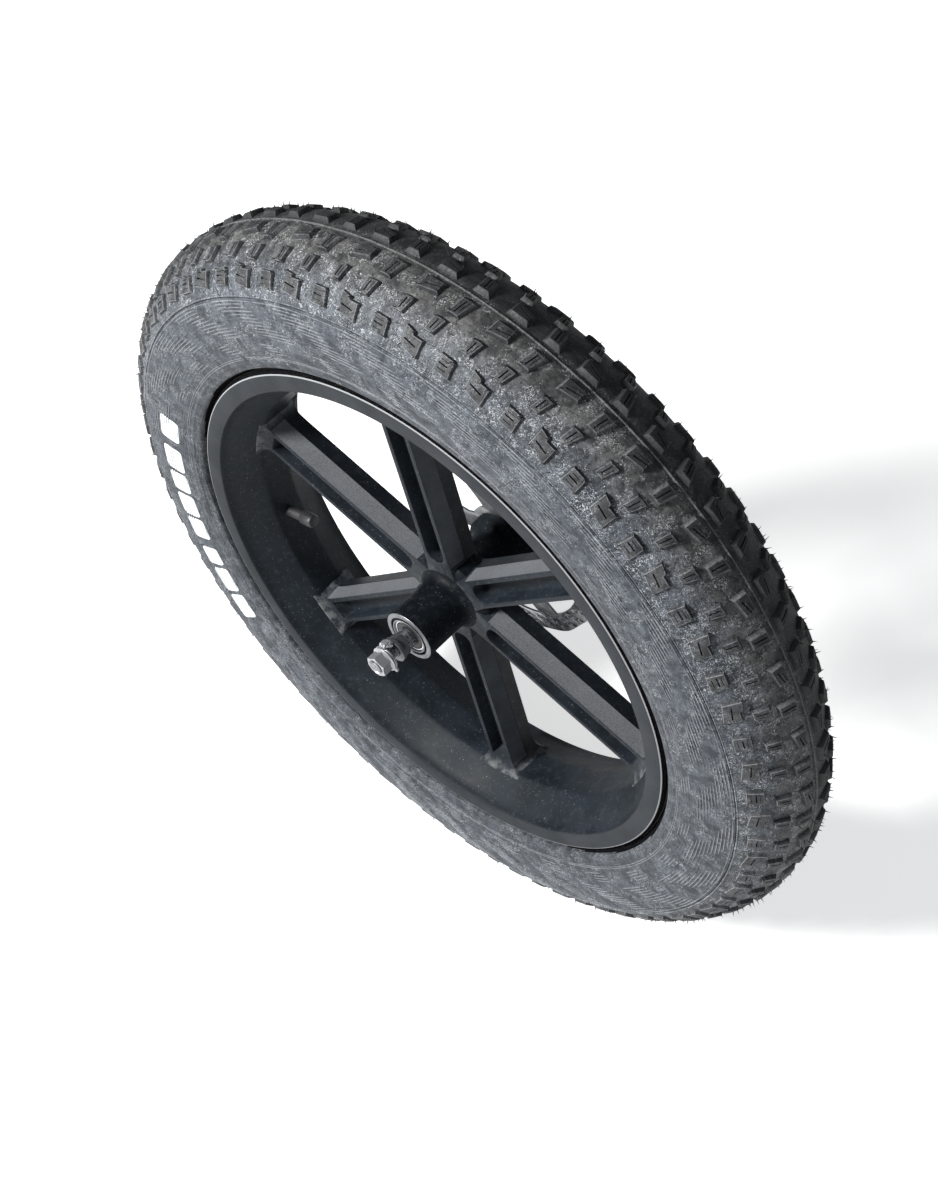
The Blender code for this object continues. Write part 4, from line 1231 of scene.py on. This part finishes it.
def build_bearing(side, sign, middle):
    low, high = middle - BEARING_HALF, middle + BEARING_HALF
    outer = [
        (11.75, low), (13.0, low), (13.0, high), (11.75, high), (11.75, middle + 1.6),
        (11.9, middle), (11.75, middle - 1.6),
    ]
    turned(
        f"bearing_outer_{side}", outer, 72, BEARING, "wheel", "bearing_steel",
        f"bearing_outer_ring_{side}", 0.35,
    )
    inner = [
        (BORE, low), (6.3, low), (6.3, middle - 1.5), (6.15, middle), (6.3, middle + 1.5),
        (6.3, high), (BORE, high),
    ]
    turned(
        f"bearing_inner_{side}", inner, 64, BEARING, "axle_set", "bearing_steel",
        f"bearing_inner_ring_{side}", 0.25,
    )
    for where in ("inboard", "outboard"):
        positive = (where == "outboard") == (sign > 0)
        face, lift = (high - 0.7, 0.12) if positive else (low + 0.2, -0.12)
        sheet = [(6.75, 0), (7.6, 0), (8.0, lift), (10.3, lift), (10.7, 0), (11.2, 0)]
        ring = [(radius, face + y) for radius, y in sheet]
        ring += [(radius, face + 0.5 + y) for radius, y in sheet[::-1]]
        turned(
            f"seal_{where}_{side}", ring, 72, SEAL, "wheel", "seal_rubber",
            f"bearing_seal_{where}_{side}", 0.1,
        )
    balls, ball_radius, race_radius = 7, 2.36, 9
    angles = [math.pi * k / 12 for k in range(13)]
    arch = [(max(0.004, ball_radius * math.sin(a)), ball_radius * math.cos(a)) for a in angles]
    for i in range(balls):
        points, quads = lathe(arch, 20)
        points = points + polar(race_radius, middle, 2 * math.pi * i / balls)
        obj = outward(make(f"race_ball_{side}_{i + 1}", points, [quads], [BALL_STEEL]))
        stand(obj, f"bearing_cage_{side}", "bearing_steel", f"ball_{side}_{i + 1}")


def build_washer(side, sign):
    shell = Shell()
    low, high = sorted((sign * 74.0, sign * 75.6))
    outline = washer_outline()
    count, soft = len(outline), 0.25
    hole = polar(BORE, 0, circle(count))[:, [0, 2]]
    edge = outline * (1 - soft / np.linalg.norm(outline, axis=1, keepdims=True))
    levels = [
        (low, hole), (low, edge), (low + soft, outline), (high - soft, outline), (high, edge),
        (high, hole),
    ]
    rings = [np.insert(ring, 1, y, axis=1) for y, ring in levels]
    shell.add(np.concatenate(rings), [grid(len(levels), count, ring=True)])
    add_tab(shell, sign)
    washer = outward(shell.make(f"safety_washer_{side}", [ZINC], 30))
    stand(washer, f"washer_{side}", "plated_steel", f"tab_washer_{side}")


def build_flange_nut(side, sign):
    """A hexagon on a skirt that spreads towards the washer."""
    shell = Shell()
    bore = 5.2
    points, quads = hex_nut(bore, 77.6, 85.5, both=False, sink=1.1)
    points[:, 1] *= sign
    shell.add(points, [quads])
    skirt = [
        (bore, 75.95), (9.6, 75.95), (9.95, 76.25), (9.95, 76.9), (9.5, 77.35), (8.4, 77.75),
        (7.4, 78.4), (6.9, 79.0), (bore, 79.0),
    ]
    points, quads = lathe([(radius, sign * y) for radius, y in skirt], 72)
    shell.add(points, [quads])
    nut = outward(shell.make(f"flange_nut_{side}", [ZINC], 28))
    stand(nut, f"nut_{side}", "plated_steel", f"axle_nut_{side}")


def build_side(side, sign, middle):
    """One side's bearing, centred on y = middle, and all that lies outboard of it on the axle."""
    build_bearing(side, sign, middle)
    low, high = sorted((sign * (abs(middle) + BEARING_HALF + 0.3), sign * 58.2))
    turned(
        f"sleeve_{side}", [(BORE, low), (7.4, low), (7.4, high), (BORE, high)], 64, GREASY,
        "axle_set", "plated_steel", f"axle_sleeve_{side}", 0.3,
    )
    points, quads = hex_nut(BORE, *sorted((sign * 58.5, sign * 64.2)))
    nut = outward(make(f"locknut_{side}", points, [quads], [DARK_STEEL], sharp=25))
    stand(nut, "axle_set", "plated_steel", f"axle_locknut_{side}")
    low, high = sorted((sign * 64.5, sign * 67.5))
    seat = [
        (BORE, low), (9.3, low), (9.6, low + 0.3), (9.6, high - 0.3), (9.3, high), (BORE, high),
    ]
    turned(
        f"seat_flange_{side}", seat, 72, DARK_STEEL, "axle_set", "plated_steel",
        f"dropout_seat_{side}", 0.15,
    )
    build_washer(side, sign)
    build_flange_nut(side, sign)


# ---------------------------------------------------------------- brake disc
DISC_Y = (52.5, 54.3)
DISC_MIDDLE = sum(DISC_Y) / 2
DISC_SOFT = 0.12  # bevel of the disc's edges
BAND_RADIUS = 64.2  # where the arms meet the friction ring
BOLT_CIRCLE = 22
BOLT_HEAD = [
    (0.01, 55.5), (1.75, 55.5), (1.85, 55.7), (1.85, 56.9), (2.1, 57.1), (2.9, 57.1),
    (3.8, 56.5), (4.3, 55.6), (4.4, 54.9), (4.4, 54.62), (2.45, 54.62), (2.45, 46.2),
    (2.1, 45.7), (0.01, 45.7),
]


def flat_polar(radius, angle):
    return radius * math.cos(angle), radius * math.sin(angle)


def flat_ring(radius, steps, centre=(0.0, 0.0)):
    spots = [flat_polar(radius, 2 * math.pi * k / steps) for k in range(steps)]
    return [(centre[0] + x, centre[1] + y) for x, y in spots]


def disc_loops():
    """The disc's wavy edge and the outlines of its openings, as (x, z)."""
    angles = [2 * math.pi * k / 240 for k in range(240)]
    yield [flat_polar(79.2 + 0.75 * math.sin(12 * angle), angle) for angle in angles]
    yield flat_ring(17.7, 60)
    for k in range(6):
        yield flat_ring(2.8, 20, flat_polar(BOLT_CIRCLE, math.radians(60 * k)))
        # the opening between two swept arms, as (radius, theta)
        middle = 60 * k + 30
        points = [(BAND_RADIUS, middle + a) for a in np.linspace(-22, 22, 14)]
        for radius in (60, 54, 48, 42, 37):
            drop = BAND_RADIUS - radius
            points.append((radius, middle + 22 - drop * 0.62 + 0.004 * drop**2))
        for a in np.linspace(14, -14, 8):
            points.append((33.5 if abs(a) < 11 else 32.5, middle - 14 + a))
        for radius in (37, 42, 48, 54, 60):
            points.append((radius, middle - 22 - (BAND_RADIUS - radius) * 0.2))
        yield [flat_polar(radius, math.radians(theta)) for radius, theta in points]
    # rows of holes: radius of the row, shift in degrees, radius of a hole
    for k in range(36):
        for radius, shift, hole in ((68.4, 0.0, 1.75), (72.4, 3.4, 1.75), (75.9, 6.6, 1.3)):
            yield flat_ring(hole, 12, flat_polar(radius, math.radians(10 * k + shift)))


def build_disc():
    """A friction ring with rows of holes, six swept arms and a bolted middle."""
    curve = bpy.data.curves.new("disc", "CURVE")
    curve.dimensions = "2D"
    curve.fill_mode = "BOTH"
    curve.extrude = (DISC_Y[1] - DISC_Y[0]) / 2 - DISC_SOFT
    curve.bevel_depth = DISC_SOFT
    curve.bevel_resolution = 1
    curve.offset = -DISC_SOFT
    for loop in disc_loops():
        spline = curve.splines.new("POLY")
        spline.points.add(len(loop) - 1)
        for point, (x, y) in zip(spline.points, loop):
            point.co = (x, y, 0, 1)
        spline.use_cyclic_u = True
    body = add_object("disc", curve)
    bpy.context.view_layer.update()
    evaluated = body.evaluated_get(bpy.context.evaluated_depsgraph_get())
    shape = bmesh.new()
    shape.from_mesh(bpy.data.meshes.new_from_object(evaluated))
    bpy.data.objects.remove(body, do_unlink=True)
    bmesh.ops.remove_doubles(shape, verts=shape.verts, dist=0.004)
    # the curve's plane becomes the wheel's plane
    for vert in shape.verts:
        vert.co = Vector((vert.co.x, DISC_MIDDLE + vert.co.z, vert.co.y)) * MM
    bmesh.ops.recalc_face_normals(shape, faces=shape.faces)
    for face in shape.faces:
        face.smooth = True
        centre = face.calc_center_median()
        face.material_index = 0 if math.hypot(centre.x, centre.z) > BAND_RADIUS * MM else 1
    if shape.calc_volume(signed=True) < 0:
        bmesh.ops.reverse_faces(shape, faces=shape.faces)
    obj = object_from(shape, "disc_rotor")
    obj.data.materials.append(DISC)
    obj.data.materials.append(DISC_ARM)
    obj.data.set_sharp_from_angle(angle=math.radians(30))
    stand(obj, "wheel", "disc_steel", "brake_rotor")


def build_disc_bolts():
    for i in range(6):
        points, quads = lathe(BOLT_HEAD, 36)
        # a six-lobed socket in the head
        inside = np.hypot(points[:, 0], points[:, 2])
        turn = np.arctan2(points[:, 2], points[:, 0])
        socket = (inside > 1.5) & (inside < 1.95) & (points[:, 1] > 55.4)
        points[:, [0, 2]] *= np.where(socket, 1 + 0.13 * np.cos(6 * turn), 1.0)[:, None]
        points = points + polar(BOLT_CIRCLE, 0, math.radians(60 * i))
        bolt = outward(make(f"disc_bolt_{i + 1}", points, [quads], [GREASY]))
        stand(bolt, "wheel", "plated_steel", f"rotor_bolt_{i + 1}")


# ---------------------------------------------------------------- valve
VALVE_ANGLE = 187.5  # theta
VALVE_ROOT = 200.0  # radius from which the valve's heights count, towards the axle
# (radius about the valve's own line, height)
STEM = [
    (2.7, 46), (3.8, 46), (3.8, 40), (3.8, 36.5), (4.1, 35.8), (4.1, 9.4), (9.0, 9.4),
    (9.0, 8.2), (2.7, 7.8),
]
DUST_CAP = [
    (0.004, 49), (4.0, 49), (4.7, 48.7), (5.15, 48.0), (5.35, 47.0), (5.4, 45), (5.4, 37.4),
    (5.2, 37.05), (4.5, 37), (4.25, 37.3), (4.25, 46.5), (4.0, 46.8), (0.004, 46.8),
]


def build_valve():
    turn = math.radians(VALVE_ANGLE)
    out = Vector((math.cos(turn), 0, math.sin(turn)))
    tilt = (-out).to_track_quat("Z", "Y").to_matrix().to_4x4()
    place = Matrix.Translation(out * VALVE_ROOT * MM) @ tilt

    def fit(name, points, quads, look, sharp, body, slot, node):
        obj = outward(make(name, points[:, [0, 2, 1]], [quads], [look], sharp=sharp))
        obj.data.transform(place)
        stand(obj, body, slot, node)

    stem = lathe(rounded(STEM, 0.25), 48)
    fit("stem", *stem, BUTYL, 35, "wheel", "butyl_rubber", "valve_stem")
    points, quads = lathe(DUST_CAP, 72)
    # grip flutes round the cap
    size = np.hypot(points[:, 0], points[:, 2])
    around = np.arctan2(points[:, 2], points[:, 0])
    grip = (size > 5.3) & (points[:, 1] < 47.5)
    flute = np.where(grip, 1 - 0.035 * (np.cos(18 * around) > 0.2), 1.0)
    points[:, [0, 2]] *= flute[:, None]
    fit("dust_cap", points, quads, CAP, 30, "valve_cap", "cap_plastic", "valve_cap")


# ---------------------------------------------------------------- hidden rings
CHAFER = [
    (209.6, 36.0), (203.7, 36.0), (203.6, 35.8), (203.6, 29.0), (204.3, 29.0), (204.3, 35.2),
    (204.5, 35.35), (209.6, 35.3),
]


def build_rings():
    """The bead wires and chafers between tire and rim, and the spacer in the hub."""
    wire_radius = 0.95
    for side, sign in (("left", -1), ("right", 1)):
        wire = [(206.65 + x, sign * 32.25 + y) for x, y in flat_ring(wire_radius, 12)]
        chafer = [(radius, sign * y) for radius, y in CHAFER]
        for name, outline, look, slot, node in (
            ("bead_bundle", wire, WIRE, "bead_wire_steel", "bead_wire"),
            ("chafer", chafer, FABRIC, "bead_fabric", "bead_chafer"),
        ):
            points, quads = lathe(outline, 240)
            obj = outward(make(f"{name}_{side}", points, [quads], [look]))
            stand(obj, "wheel", slot, f"{node}_{side}")
    spacer = [(BORE, -43.1), (6.6, -43.1), (6.6, 45.2), (BORE, 45.2)]
    turned(
        "spacer_tube", spacer, 64, GREASY, "axle_set", "plated_steel", "bearing_spacer", 0.3
    )


build_casing()
build_tread()
build_wheel()
build_axle()
build_side("left", -1, -47.4)
build_side("right", 1, 49.5)
build_disc()
build_disc_bolts()
build_valve()
build_rings()

# CAD nodes that stay take their finish here
KEPT = {
    "inner_tube": (BUTYL, "butyl_rubber"),
    "rim_flap": (FLAP, "bead_fabric"),
    "bearing_cage_left": (NYLON, "cage_nylon"),
    "bearing_cage_right": (NYLON, "cage_nylon"),
    "valve_core_body": (BRASS, "valve_brass"),
    "valve_pin": (BRASS, "valve_brass"),
    "valve_spring": (GREASY, "plated_steel"),
}
for node, (look, slot) in KEPT.items():
    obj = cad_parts[node]
    obj.data.materials.clear()
    obj.data.materials.append(look)


# ---------------------------------------------------------------- floor, light and camera
# this part is in metres
FLOOR_HALF = 9
AMBIENT = 0.14  # strength of the world's light


def floor_material():
    """A pale floor that glows more to the camera than to the pieces."""
    mat = Material("pale_floor")
    mat.fill(mat.shader.inputs["Emission Color"], (1, 1, 1))
    seen = mat.node("LightPath", "Is Camera Ray", {})
    glow = seen.ramp(between=(0, 1), to=(0.2, 0.62), kind="LINEAR")
    mat.fill(mat.shader.inputs["Emission Strength"], glow)
    colour = mat.mix(mat.noise(size=60).ramp(), (0.79, 0.79, 0.79), (0.81, 0.81, 0.81))
    return mat.done(colour, mat.noise(size=9, detail=2).ramp(to=(0.75, 0.85)))


def build_floor():
    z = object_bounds()[0].z - 0.0002
    plane = bpy.data.meshes.new("floor")
    corners = [(-1, -1), (1, -1), (1, 1), (-1, 1)]
    points = [(FLOOR_HALF * x, FLOOR_HALF * y, z) for x, y in corners]
    plane.from_pydata(points, [], [(0, 1, 2, 3)])
    floor = add_object("floor", plane)
    plane.materials.append(floor_material())


def build_world():
    """A dim bluish light; the camera sees it at full strength behind the floor's edge."""
    world = bpy.data.worlds.new("studio")
    bpy.context.scene.world = world
    world.use_nodes = True
    nodes, links = world.node_tree.nodes, world.node_tree.links
    background = nodes["Background"].inputs
    background["Color"].default_value = (0.92, 0.955, 1.0, 1)
    background["Strength"].default_value = AMBIENT
    seen = nodes.new("ShaderNodeLightPath")
    glow = nodes.new("ShaderNodeMath")
    glow.operation = "MULTIPLY_ADD"
    links.new(seen.outputs["Is Camera Ray"], glow.inputs[0])
    glow.inputs[1].default_value = 1 - AMBIENT
    glow.inputs[2].default_value = AMBIENT
    links.new(glow.outputs[0], background["Strength"])


def softbox(name, place, size, watts, colour):
    """A rectangular light that looks at the origin."""
    data = bpy.data.lights.new(name, "AREA")
    data.shape = "RECTANGLE"
    data.size, data.size_y = size
    data.energy = watts
    data.color = colour
    obj = add_object(name, data)
    obj.location = place
    obj.rotation_euler = (-Vector(place)).to_track_quat("-Z", "Y").to_euler()


def build_camera():
    data = bpy.data.cameras.new("camera")
    data.sensor_fit = "VERTICAL"
    data.sensor_height = 36
    data.lens = 51.0708
    data.clip_start = 0.05
    camera = add_object("camera", data)
    camera.matrix_world = Matrix(
        (
            (0.74671146, -0.43139202, 0.50628344, 0.61298063),
            (0.65290916, 0.62072373, -0.43406415, -0.51780097),
            (-0.12701033, 0.65467776, 0.74516132, 0.88374721),
            (0, 0, 0, 1),
        )
    )
    bpy.context.scene.camera = camera


build_floor()
build_world()
softbox(
    "key", place=(-1.33, -2.42, 2.2), size=(0.72, 0.62), watts=228, colour=(1.0, 0.997, 0.985)
)
softbox("fill", place=(1.6, -0.9, 1.5), size=(1.4, 1.4), watts=6, colour=(0.88, 0.94, 1.0))
build_camera()
bpy.context.scene.view_settings.view_transform = "Standard"
